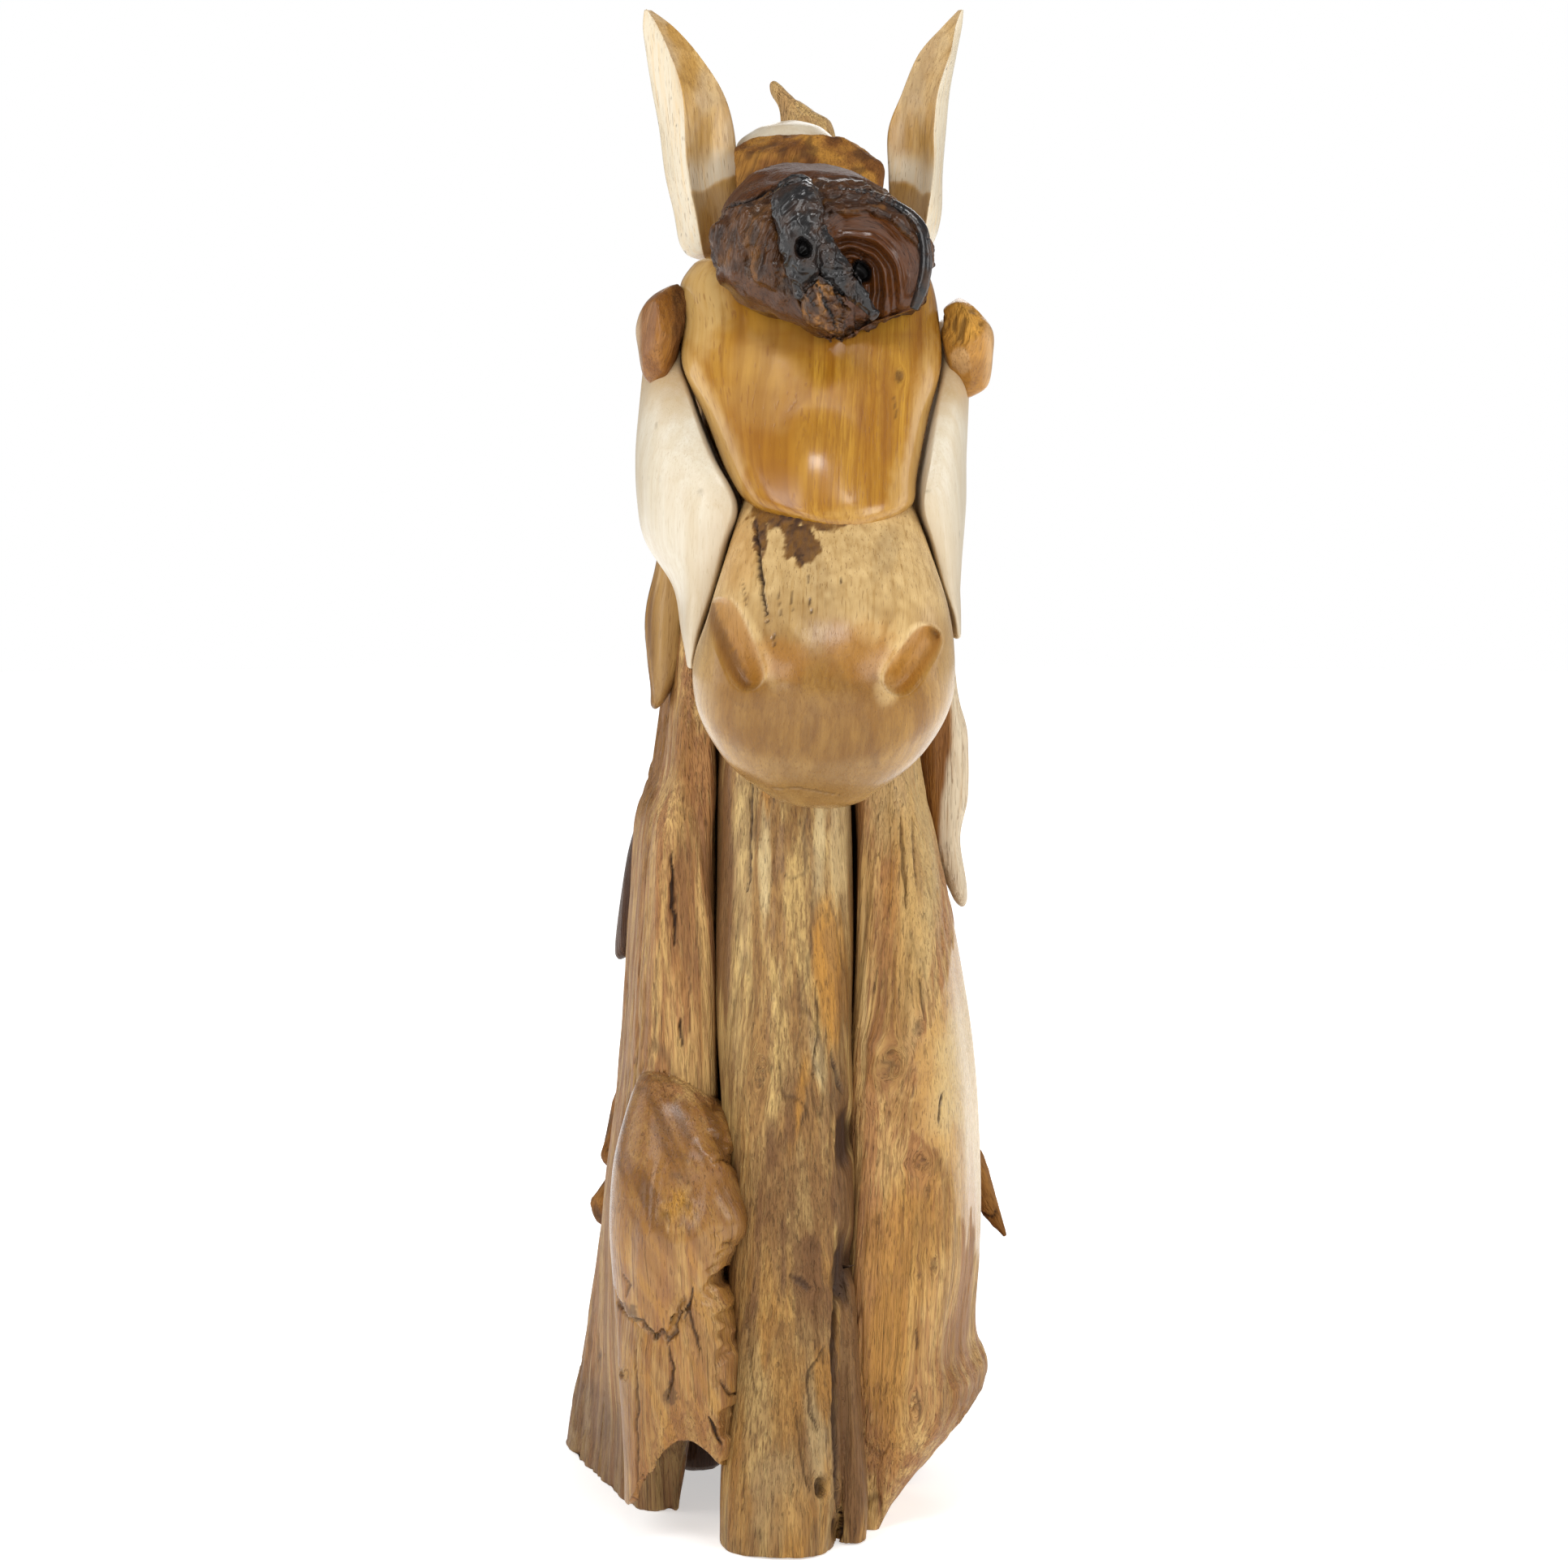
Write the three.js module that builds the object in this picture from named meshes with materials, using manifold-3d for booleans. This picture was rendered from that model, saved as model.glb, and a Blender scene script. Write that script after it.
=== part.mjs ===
// Horse head put together from lumps and planks of teak root, standing on the sawn feet of its planks.
// Millimetres, +Z up. The horse faces -Y, and left and right are as seen by someone facing it.
// The origin is on the floor, under the middle of the whole sculpture.
import * as THREE from 'three';
import { mergeVertices } from 'three/addons/utils/BufferGeometryUtils.js';
import Module from 'manifold-3d';

const wasm = await Module();
wasm.setup();

// Clearance between pieces that touch.
const SEAM = 0.4;

// A station is a level cut through a lump: its height and its reach left, right, front and back.
// ridge and mid move the cut's centre lines, and splay leans it sideways towards the back.
function at(z, left, right, front, back, more = {}) {
  const ridge = (left + right) / 2;
  const mid = (front + back) / 2;
  return { z, left, right, front, back, ridge, mid, splay: 0, ...more };
}

// Face

const FOREHEAD = {
  power: 2.4,
  topRound: 14,
  lowRound: 5,
  stations: [
    at(891, 40, 64, -226, -185, { mid: -212 }),
    at(897, 10, 84, -232, -160, { mid: -204 }),
    at(912, -28, 109, -230, -125, { mid: -188 }),
    at(938, -48, 114, -217, -100, { mid: -170 }),
    at(985, -67, 124, -190, -70, { mid: -142 }),
    at(1032, -88, 136, -162, -40, { mid: -114 }),
    at(1070, -87, 135, -142, -20, { mid: -94 }),
    at(1105, -90, 129, -124, -5, { mid: -76 }),
    at(1136, -66, 114, -104, 0, { mid: -60 }),
  ],
};

const MUZZLE = {
  power: 2.4,
  rows: 11,
  sides: 16,
  lowRound: 8,
  stations: [
    at(657, 14, 62, -246, -180),
    at(666, -8, 72, -262, -165),
    at(685, -36, 99, -290, -145, { mid: -222 }),
    at(707, -57, 121, -311, -125, { mid: -218 }),
    at(740, -73, 140, -328, -105, { mid: -215 }),
    at(780, -77, 145, -329, -92, { mid: -212 }),
    at(825, -63, 139, -307, -90, { mid: -208 }),
    at(870, -49, 124, -264, -95, { mid: -196 }),
    at(912, -36, 109, -215, -105, { mid: -172 }),
    at(935, -26, 98, -192, -120, { mid: -160 }),
  ],
};

// Each nostril is a leaf-shaped scoop between an upper and a lower end, seen from the front.
const NOSTRILS = [
  { upper: [-56, 834], lower: [-24, 764], y: -304, halfWidth: 17, halfDepth: 25 },
  { upper: [124, 811], lower: [86, 763], y: -303, halfWidth: 16, halfDepth: 25 },
];

const CHEEK_LEFT = {
  power: 2.3,
  sides: 12,
  lowRound: 4,
  topRound: 20,
  stations: [
    at(771, -84, -80, -186, -60, { ridge: -81, mid: -100 }),
    at(800, -90, -79, -190, -25, { ridge: -81, mid: -80 }),
    at(840, -98, -66, -194, 0, { ridge: -70, mid: -65 }),
    at(880, -122, -52, -199, 10, { ridge: -58, mid: -60 }),
    at(914, -129, -38, -204, 15, { ridge: -46, mid: -60 }),
    at(955, -130, -59, -186, 15, { ridge: -66, mid: -60 }),
    at(1000, -126, -77, -152, 10, { ridge: -82, mid: -58 }),
    at(1036, -122, -92, -108, -2, { ridge: -96, mid: -50 }),
    at(1076, -116, -93, -84, -20, { ridge: -98, mid: -50 }),
  ],
};

const CHEEK_RIGHT = {
  power: 2.3,
  sides: 12,
  lowRound: 4,
  topRound: 20,
  stations: [
    at(797, 149, 152, -186, -60, { ridge: 150, mid: -100 }),
    at(818, 147, 153, -188, -25, { ridge: 149, mid: -80 }),
    at(845, 138, 155, -192, 0, { ridge: 141, mid: -65 }),
    at(880, 127, 158, -199, 10, { ridge: 132, mid: -60 }),
    at(914, 112, 160, -204, 15, { ridge: 119, mid: -60 }),
    at(955, 119, 160, -186, 15, { ridge: 126, mid: -60 }),
    at(1000, 130, 162, -152, 10, { ridge: 135, mid: -58 }),
    at(1036, 139, 164, -108, -2, { ridge: 143, mid: -50 }),
    at(1074, 139, 158, -84, -20, { ridge: 144, mid: -50 }),
  ],
};

const EYE_LEFT = {
  power: 2.2,
  sides: 12,
  rows: 8,
  lowRound: 10,
  topRound: 10,
  stations: [
    at(1013, -114, -104, -122, -72),
    at(1024, -122, -98, -130, -68),
    at(1045, -126, -92, -138, -62),
    at(1066, -128, -86, -140, -58),
    at(1086, -120, -83, -136, -60),
    at(1102, -102, -88, -122, -72),
  ],
};

const EYE_RIGHT = {
  power: 2.2,
  sides: 12,
  rows: 8,
  lowRound: 10,
  topRound: 10,
  stations: [
    at(1004, 152, 164, -118, -72),
    at(1016, 146, 177, -130, -66),
    at(1040, 139, 181, -138, -60),
    at(1062, 136, 181, -138, -58),
    at(1080, 138, 168, -132, -60),
    at(1091, 147, 157, -118, -72),
  ],
};

// An ear's cut is a wedge: a front ridge, a flat outer face and a hollow inner face.
const EAR_LEFT = {
  powers: { frontLeft: 1.25, frontRight: 0.9, back: 2.2 },
  lowRound: 6,
  stations: [
    at(1128, -82, -58, -14, 14, { ridge: -70 }),
    at(1142, -93, -48, -26, 26, { ridge: -73 }),
    at(1170, -99, -43, -31, 32, { ridge: -78 }),
    at(1205, -107, -41, -33, 35, { ridge: -85 }),
    at(1245, -112, -44, -31, 33, { ridge: -87 }),
    at(1278, -118, -54, -27, 29, { ridge: -90 }),
    at(1310, -123, -75, -19, 22, { ridge: -101 }),
    at(1334, -126, -97, -10, 14, { ridge: -112 }),
    at(1350, -124.5, -119, -2, 5, { ridge: -122 }),
  ],
};

const EAR_RIGHT = {
  powers: { frontLeft: 0.9, frontRight: 1.25, back: 2.2 },
  lowRound: 6,
  stations: [
    at(1130, 106, 124, -14, 14, { ridge: 118 }),
    at(1146, 98, 135, -26, 26, { ridge: 123 }),
    at(1170, 95, 141, -31, 32, { ridge: 127 }),
    at(1205, 93, 142, -33, 35, { ridge: 132 }),
    at(1243, 92, 145, -31, 33, { ridge: 132 }),
    at(1276, 104, 148, -27, 29, { ridge: 136 }),
    at(1310, 119, 154, -19, 22, { ridge: 147 }),
    at(1334, 140, 158.5, -10, 14, { ridge: 152 }),
    at(1350, 155.5, 160, -2, 5, { ridge: 158 }),
  ],
};

// Forelock

const FORELOCK = {
  power: 2.6,
  rows: 10,
  lowRound: 6,
  topRound: 6,
  stations: [
    at(1051, 34, 50, -176, -120),
    at(1066, 4, 74, -190, -105),
    at(1081, -30, 114, -198, -95),
    at(1106, -55, 123, -204, -80),
    at(1135, -60, 125, -204, -60),
    at(1158, -56, 109, -198, -50),
    at(1181, -42, 84, -180, -42),
    at(1197, -27, 61, -146, -42),
    at(1208, 0, 32, -105, -58),
  ],
};

// Charred root that stands proud of the burl: a trunk that forks below its middle.
const FORELOCK_ROOTS = [
  { path: [[8, -185, 1188], [18, -206, 1160], [24, -214, 1128], [36, -212, 1092], [46, -196, 1056]],
    radii: [13, 16, 18, 13, 6] },
  { path: [[26, -210, 1130], [44, -216, 1116], [62, -212, 1092], [80, -206, 1072]],
    radii: [9, 10, 7, 4] },
];
const ROOT_SQUASH = 0.8;

// The bowl's growth rings are terraces, from the rim down to the bottom.
const SWIRL = { x: 78, y: -204, z: 1114, rim: 44, terraces: 3, drop: 11, tilt: 0.3 };
const FORELOCK_HOLES = [
  { x: 19, z: 1126, radius: 6, depth: 26, y: -232 },
  { x: 66, z: 1110, radius: 8, depth: 24, y: -186 },
];

// Poll and top of the mane

const POLL_BLOCK = {
  power: 4.5,
  sides: 12,
  rows: 7,
  topRound: 5,
  stations: [
    at(1140, -34, 78, -70, 20),
    at(1188, -41, 87, -72, 40),
    at(1210, -43, 87, -62, 42),
    at(1226, -42, 68, -56, 40),
    at(1238, -22, 44, -44, 30),
  ],
};

const CREST_CAP = {
  power: 2.2,
  sides: 12,
  rows: 6,
  topRound: 8,
  stations: [
    at(1205, -38, 44, 0, 78),
    at(1232, -43, 48, -4, 84),
    at(1247, -26, 36, 6, 76),
    at(1255, -8, 24, 18, 62),
  ],
};

const MANE_TOP = {
  power: 2,
  sides: 8,
  rows: 12,
  lowRound: 18,
  topRound: 2,
  stations: [
    at(930, 30, 52, 202, 236),
    at(1020, 12, 56, 160, 214),
    at(1110, 2, 54, 118, 176),
    at(1190, -2, 52, 86, 142),
    at(1252, -4, 46, 76, 114),
    at(1270, -6, 27, 78, 104),
    at(1284, -12, 5, 80, 97),
    at(1296, -12, -7, 84, 90),
  ],
};

// Neck planks and logs

const CHEST_LOG = {
  power: 2.4,
  rows: 10,
  stations: [
    at(0, -57, 45, -195, -60, { ridge: 6 }),
    at(60, -56, 54, -194, -55, { ridge: 8 }),
    at(170, -51, 61, -185, -45, { ridge: 10 }),
    at(320, -52, 62, -169, -35, { ridge: 10 }),
    at(460, -58, 62, -157, -25, { ridge: 6 }),
    at(610, -59, 61, -146, -10, { ridge: 2 }),
    at(710, -58, 58, -136, 0),
    at(800, -50, 55, -122, 10),
  ],
};

const CHEST_FLANGE = {
  power: 2.6,
  sides: 12,
  rows: 6,
  topRound: 40,
  stations: [
    at(0, 50, 72, -150, -95),
    at(50, 49, 74, -153, -92),
    at(150, 44, 68, -156, -85),
    at(270, 38, 62, -146, -75),
  ],
};
const FLANGE_NOTCH = { x: 48, halfWidth: 7, height: 36 };

const NECK_SLAB_LEFT = {
  power: 5,
  rows: 10,
  stations: [
    at(0, -178, -130, -43, 211, { splay: -0.34 }),
    at(70, -170, -112, -52, 209, { splay: -0.28 }),
    at(150, -165, -82, -96, 203, { splay: -0.2 }),
    at(260, -161, -70, -106, 188, { splay: -0.11 }),
    at(400, -145, -70, -112, 168, { splay: -0.12 }),
    at(540, -136, -71, -112, 150, { splay: -0.12 }),
    at(620, -129, -71, -110, 135, { splay: -0.12 }),
    at(672, -113, -70, -106, 122, { splay: -0.12 }),
    at(740, -105, -68, -98, 110, { splay: -0.1 }),
    at(900, -88, -60, -60, 90, { splay: -0.08 }),
  ],
};

// The polished burl on the left plank hangs over its foot.
const NECK_BURL = {
  powers: { frontLeft: 2.3, frontRight: 3, back: 2.6 },
  rows: 11,
  topRound: 10,
  stations: [
    at(20, -142, -34, -168, -55, { ridge: -88, mid: -108 }),
    at(90, -144, -34, -178, -50, { ridge: -86, mid: -112 }),
    at(150, -146, -36, -182, -45, { ridge: -86, mid: -114 }),
    at(205, -148, -33, -182, -45, { ridge: -88, mid: -112 }),
    at(238, -150, -46, -180, -45, { ridge: -92, mid: -110 }),
    at(285, -153, -32, -182, -50, { ridge: -90, mid: -110 }),
    at(335, -150, -38, -172, -55, { ridge: -94, mid: -108 }),
    at(380, -139, -52, -150, -60, { ridge: -100, mid: -104 }),
    at(416, -124, -100, -122, -70),
  ],
};
// Lower edge of the burl from left to right: an arch over the foot and a lobe that hangs free beside it.
const BURL_HEM = [
  [-160, 26], [-132, 36], [-121, 60], [-102, 77], [-84, 83], [-68, 74], [-54, 61], [-41, 68], [-20, 90],
];
const HEM_BLOCK = { floor: -20, back: -20, depth: 220 };

const NECK_SLAB_RIGHT = {
  power: 3.6,
  rows: 13,
  stations: [
    at(0, 72, 118, -103, 55, { ridge: 112, splay: 0.32 }),
    at(28, 64, 118, -106, 58, { ridge: 104, splay: 0.32 }),
    at(58, 62, 138, -112, 60, { ridge: 100, splay: 0.3 }),
    at(92, 64, 168, -122, 60, { splay: 0.27 }),
    at(122, 66, 175, -126, 60, { splay: 0.25 }),
    at(160, 66, 164, -130, 60, { splay: 0.24 }),
    at(240, 64, 172, -131, 60, { splay: 0.2 }),
    at(330, 63, 172, -128, 60, { splay: 0.18 }),
    at(420, 63, 166, -122, 58, { splay: 0.16 }),
    at(500, 66, 154, -117, 54, { splay: 0.14 }),
    at(600, 67, 135, -110, 48, { splay: 0.14 }),
    at(680, 66, 118, -102, 44, { splay: 0.12 }),
    at(780, 65, 112, -92, 38, { splay: 0.08 }),
    at(890, 63, 108, -70, 30, { splay: 0.04 }),
  ],
};

const THROAT_SLAB_LEFT = {
  power: 3,
  sides: 12,
  rows: 9,
  lowRound: 6,
  stations: [
    at(730, -118, -112, -50, -8),
    at(748, -118, -100, -58, 0),
    at(775, -122, -88, -62, 6),
    at(815, -123, -84, -62, 8),
    at(850, -116, -82, -62, 6),
    at(905, -106, -70, -56, 0),
  ],
};

// Mane

const MANE_SLIVER_RIGHT = {
  power: 2.4,
  sides: 8,
  rows: 10,
  lowRound: 6,
  topRound: 16,
  stations: [
    at(543, 160, 167, 36, 56),
    at(562, 150, 167, 26, 66),
    at(605, 134, 161, 24, 72),
    at(645, 124, 168, 24, 76),
    at(700, 118, 168, 22, 76),
    at(745, 112, 158, 18, 74),
    at(830, 104, 149, 14, 68),
    at(905, 92, 134, 8, 60),
  ],
};

const MANE_SLIVER_LEFT = {
  power: 2.4,
  sides: 8,
  rows: 8,
  lowRound: 6,
  topRound: 16,
  stations: [
    at(478, -160, -152, 156, 172),
    at(500, -159, -132, 144, 190),
    at(560, -150, -110, 138, 190),
    at(620, -136, -92, 124, 184),
    at(740, -100, -62, 100, 168),
  ],
};

// A root is a round section carried along a path from its hidden end to its showing end.
const MANE_ROOTS = {
  mane_root_upper_left: {
    path: [[-34, 296, 492], [-84, 262, 404], [-130, 226, 334], [-158, 202, 278]],
    radii: [20, 32, 32, 20],
  },
  mane_root_lower_left: {
    path: [[-40, 313, 322], [-96, 276, 276], [-142, 238, 246], [-170, 212, 226]],
    radii: [18, 29, 29, 20],
  },
  mane_root_right: {
    path: [[46, 288, 452], [108, 240, 366], [168, 188, 284], [210, 142, 216]],
    radii: [22, 31, 22, 3],
  },
};

// Back of the neck

const BACK_LOG_LEFT = {
  power: 2.8,
  sides: 12,
  rows: 8,
  lowRound: 14,
  topRound: 20,
  stations: [
    at(0, -102, -54, 70, 178),
    at(40, -106, -52, 66, 190),
    at(250, -98, -40, 70, 204),
    at(480, -88, -30, 72, 198),
    at(700, -92, -30, 60, 172),
    at(850, -92, -34, 30, 140),
  ],
};

const BACK_LOG_RIGHT = {
  power: 2.8,
  sides: 12,
  rows: 8,
  topRound: 20,
  stations: [
    at(0, 74, 128, 66, 204),
    at(200, 76, 142, 62, 206),
    at(400, 72, 146, 56, 202),
    at(600, 64, 128, 46, 180),
    at(760, 60, 116, 36, 152),
    at(880, 56, 108, 26, 128),
  ],
};

const CREST_LOG = {
  power: 2.6,
  sides: 12,
  rows: 9,
  topRound: 14,
  stations: [
    at(0, -74, 86, 192, 330),
    at(160, -78, 90, 180, 328),
    at(360, -80, 92, 156, 318),
    at(600, -82, 96, 116, 290),
    at(800, -86, 104, 60, 252),
    at(960, -88, 112, -20, 206),
    at(1080, -72, 106, -60, 158),
    at(1170, -48, 90, -70, 110),
    at(1214, -24, 62, -50, 84),
  ],
};

// Geometry

const FIELDS = ['z', 'left', 'right', 'front', 'back', 'ridge', 'mid', 'splay'];
const DEFAULT_SIDES = 16;
const DEFAULT_ROWS = 9;
// How far a rounded end's last ring stays from its pole, in rows.
const ROUND_INSET = 0.35;

// Catmull-Rom blend of one field of the stations, at a place counted in stations.
function blend(stations, field, place) {
  const last = stations.length - 1;
  const i = Math.min(Math.floor(place), last - 1);
  const t = place - i;
  const [a, b, c, d] = [i - 1, i, i + 1, i + 2].map((k) => stations[Math.min(Math.max(k, 0), last)][field]);
  const slope = c - a;
  const bend = 2 * a - 5 * b + 4 * c - d;
  const twist = 3 * b - a - 3 * c + d;
  return b + 0.5 * t * (slope + t * (bend + t * twist));
}

// How much of a cut is left near a rounded end, as on a quarter circle of the given height.
function roundedShare(distance, height) {
  if (!height || distance >= height) {
    return 1;
  }
  return Math.sqrt(Math.max(1 - (1 - distance / height) ** 2, 0));
}

// Closed geometry from rings of equal length, listed from one end to the other, and the two end points.
function skin(rings, lowPole, topPole) {
  const sides = rings[0].length;
  const points = [...rings.flat(), lowPole, topPole];
  const low = points.length - 2;
  const top = points.length - 1;
  const index = [];
  const lastRing = (rings.length - 1) * sides;
  for (let k = 0; k < sides; k += 1) {
    const next = (k + 1) % sides;
    index.push(low, next, k);
    index.push(top, lastRing + k, lastRing + next);
    for (let ring = 0; ring < lastRing; ring += sides) {
      index.push(ring + k, ring + next, ring + sides + next);
      index.push(ring + k, ring + sides + next, ring + sides + k);
    }
  }
  const geometry = new THREE.BufferGeometry();
  geometry.setAttribute('position', new THREE.Float32BufferAttribute(points.flat(), 3));
  geometry.setIndex(index);
  return geometry;
}

// A lump through its stations. Each cut is a superellipse with its own reach on four sides.
// Rows crowd towards the ends, where rounded ends close like a dome.
function lump(form, grow = 0) {
  const { stations, sides = DEFAULT_SIDES, rows = DEFAULT_ROWS, lowRound = 0, topRound = 0 } = form;
  const { frontLeft, frontRight, back } = form.powers
    ?? { frontLeft: form.power, frontRight: form.power, back: form.power };
  const lowZ = stations[0].z;
  const topZ = stations.at(-1).z;
  const cutAt = (place) => Object.fromEntries(FIELDS.map((field) => [field, blend(stations, field, place)]));
  const lowInset = lowRound ? ROUND_INSET : 0;
  const topInset = topRound ? ROUND_INSET : 0;
  const rings = [];
  for (let row = 0; row < rows; row += 1) {
    const even = (row + lowInset) / (rows - 1 + lowInset + topInset);
    const crowded = (1 - Math.cos(Math.PI * even)) / 2;
    const cut = cutAt(((even + crowded) / 2) * (stations.length - 1));
    const share = roundedShare(cut.z - lowZ, lowRound) * roundedShare(topZ - cut.z, topRound);
    const level = cut.z + grow * Math.sign(even - 0.5) * (row === 0 || row === rows - 1 ? 1 : 0);
    const ring = [];
    for (let k = 0; k < sides; k += 1) {
      const c = Math.cos((2 * Math.PI * k) / sides);
      const s = Math.sin((2 * Math.PI * k) / sides);
      const power = s > 0 ? back : c < 0 ? frontLeft : frontRight;
      const reachX = (c < 0 ? cut.left - cut.ridge - grow : cut.right - cut.ridge + grow) * share;
      const reachY = (s < 0 ? cut.front - cut.mid - grow : cut.back - cut.mid + grow) * share;
      const dy = Math.abs(s) ** (2 / power) * reachY;
      const dx = Math.abs(c) ** (2 / power) * reachX;
      ring.push([cut.ridge + dx + cut.splay * dy, cut.mid + dy, level]);
    }
    rings.push(ring);
  }
  const low = stations[0];
  const top = stations.at(-1);
  return skin(rings, [low.ridge, low.mid, lowZ - grow], [top.ridge, top.mid, topZ + grow]);
}

const ROOT_SIDES = 8;
const ROOT_ROWS = 7;
const DOME_SHARE = 0.6;
const DEPTH_AXIS = new THREE.Vector3(0, 1, 0);

// A root: rings square to a smooth path, with the radius blended along it and domed ends.
function root({ path, radii }, grow = 0, squash = 1) {
  const curve = new THREE.CatmullRomCurve3(path.map((point) => new THREE.Vector3(...point)));
  const knots = radii.map((radius) => ({ radius: radius + grow }));
  const rings = [];
  for (let row = 0; row < ROOT_ROWS; row += 1) {
    const along = row / (ROOT_ROWS - 1);
    const centre = curve.getPoint(along);
    const tangent = curve.getTangent(along);
    const across = new THREE.Vector3().crossVectors(DEPTH_AXIS, tangent).normalize();
    const deep = new THREE.Vector3().crossVectors(tangent, across);
    const radius = blend(knots, 'radius', along * (radii.length - 1));
    const ring = [];
    for (let k = 0; k < ROOT_SIDES; k += 1) {
      const angle = (2 * Math.PI * k) / ROOT_SIDES;
      const point = centre.clone();
      point.addScaledVector(across, radius * Math.cos(angle));
      point.addScaledVector(deep, radius * squash * Math.sin(angle));
      ring.push(point.toArray());
    }
    rings.push(ring);
  }
  const domed = (along, radius, sign) => curve.getPoint(along)
    .addScaledVector(curve.getTangent(along), sign * (radius * DOME_SHARE + grow))
    .toArray();
  return skin(rings, domed(0, radii[0], -1), domed(1, radii.at(-1), 1));
}

// Solids

function solid(geometry) {
  const vertProperties = new Float32Array(geometry.getAttribute('position').array);
  const triVerts = new Uint32Array(geometry.index.array);
  const mesh = new wasm.Mesh({ numProp: 3, vertProperties, triVerts });
  mesh.merge();
  return new wasm.Manifold(mesh);
}

function bounds(piece) {
  const { min, max } = piece.boundingBox();
  return new THREE.Box3(new THREE.Vector3(...min), new THREE.Vector3(...max));
}

// A cut can leave crumbs, so only the largest body is kept.
function largestBody(piece) {
  const bodies = piece.decompose();
  return bodies.reduce((best, body) => (body.volume() > best.volume() ? body : best));
}

function toGeometry(piece) {
  const { vertProperties, triVerts } = piece.getMesh();
  const geometry = new THREE.BufferGeometry();
  geometry.setAttribute('position', new THREE.BufferAttribute(vertProperties, 3));
  geometry.setIndex(new THREE.BufferAttribute(triVerts, 1));
  geometry.computeVertexNormals();
  return geometry;
}

// A closed three.js geometry with its points merged, placed and turned into a solid.
function cutter(geometry, matrix) {
  const bare = new THREE.BufferGeometry();
  bare.setAttribute('position', geometry.getAttribute('position').clone());
  bare.setIndex(geometry.index);
  const merged = mergeVertices(bare);
  merged.applyMatrix4(matrix);
  return solid(merged);
}

function placed(position, rotation, scale) {
  const turn = new THREE.Quaternion().setFromEuler(new THREE.Euler(...rotation));
  return new THREE.Matrix4().compose(new THREE.Vector3(...position), turn, new THREE.Vector3(...scale));
}

// Nostril scoop: an egg stretched along the line between its two ends and pressed into the face.
function nostril({ upper, lower, y, halfWidth, halfDepth }) {
  const [dx, dz] = [upper[0] - lower[0], upper[1] - lower[1]];
  const middle = [(upper[0] + lower[0]) / 2, y, (upper[1] + lower[1]) / 2];
  const lean = Math.atan2(dx, dz);
  const scale = [halfWidth, halfDepth, Math.hypot(dx, dz) / 2];
  return cutter(new THREE.SphereGeometry(1, 10, 6), placed(middle, [0, lean, 0], scale));
}

// The terraced bowl: a turned plug whose radius drops in steps, sunk into the burl from the front.
function swirlPlug({ x, y, z, rim, terraces, drop, tilt }) {
  const profile = [new THREE.Vector2(0, 2 * drop)];
  for (let step = 0; step < terraces; step += 1) {
    const radius = rim * (1 - step / (terraces + 0.6));
    profile.push(new THREE.Vector2(radius, step ? -step * drop : 2 * drop));
    profile.push(new THREE.Vector2(radius * 0.94, -(step + 1) * drop));
  }
  profile.push(new THREE.Vector2(0, -terraces * drop));
  const plug = new THREE.LatheGeometry(profile.reverse(), 12);
  return cutter(plug, placed([x, y, z], [-Math.PI / 2 - Math.PI, 0, tilt], [1, 1, 1]));
}

function hole({ x, z, radius, depth, y }) {
  const drill = new THREE.CylinderGeometry(radius, radius * 0.8, 2 * depth, 10);
  return cutter(drill, placed([x, y, z], [0, 0, 0], [1, 1, 1]));
}

// The notch between the front log's foot and its root flange.
function flangeNotch({ x, halfWidth, height }) {
  const wedge = new THREE.CylinderGeometry(1, 1, 400, 3);
  return cutter(wedge, placed([x, -200, height / 4], [0, Math.PI / 6, 0], [halfWidth, 1, height / 1.5]));
}

// What lies under the burl's hem: a block as deep as the burl whose top follows the hem.
function underHem() {
  const points = BURL_HEM.map(([x, z]) => new THREE.Vector2(x, z));
  const [first, last] = [points[0], points.at(-1)];
  const outline = new THREE.Shape();
  outline.moveTo(last.x, HEM_BLOCK.floor);
  outline.lineTo(last.x, last.y);
  outline.splineThru([...points].reverse().slice(1));
  outline.lineTo(first.x, HEM_BLOCK.floor);
  const straight = { depth: HEM_BLOCK.depth, bevelEnabled: false, curveSegments: 2 };
  const block = new THREE.ExtrudeGeometry(outline, straight);
  return cutter(block, placed([0, HEM_BLOCK.back, 0], [Math.PI / 2, 0, 0], [1, 1, 1]));
}

function forelock(grow) {
  const roots = FORELOCK_ROOTS.map((form) => solid(root(form, grow, ROOT_SQUASH)));
  const burl = solid(lump(FORELOCK, grow));
  if (grow) {
    return roots.reduce((sum, part) => sum.add(part), burl);
  }
  const bowl = burl.subtract(swirlPlug(SWIRL));
  const whole = roots.reduce((sum, part) => sum.add(part), bowl);
  return FORELOCK_HOLES.reduce((rest, form) => rest.subtract(hole(form)), whole);
}

function muzzle(grow) {
  const block = solid(lump(MUZZLE, grow));
  return grow ? block : NOSTRILS.reduce((rest, form) => rest.subtract(nostril(form)), block);
}

function chestLog(grow) {
  const whole = solid(lump(CHEST_LOG, grow)).add(solid(lump(CHEST_FLANGE, grow)));
  return grow ? whole : whole.subtract(flangeNotch(FLANGE_NOTCH));
}

function neckSlabLeft(grow) {
  const burl = solid(lump(NECK_BURL, grow));
  const hemmed = grow ? burl : burl.subtract(underHem());
  return solid(lump(NECK_SLAB_LEFT, grow)).add(hemmed);
}

// Sculpture

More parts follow.
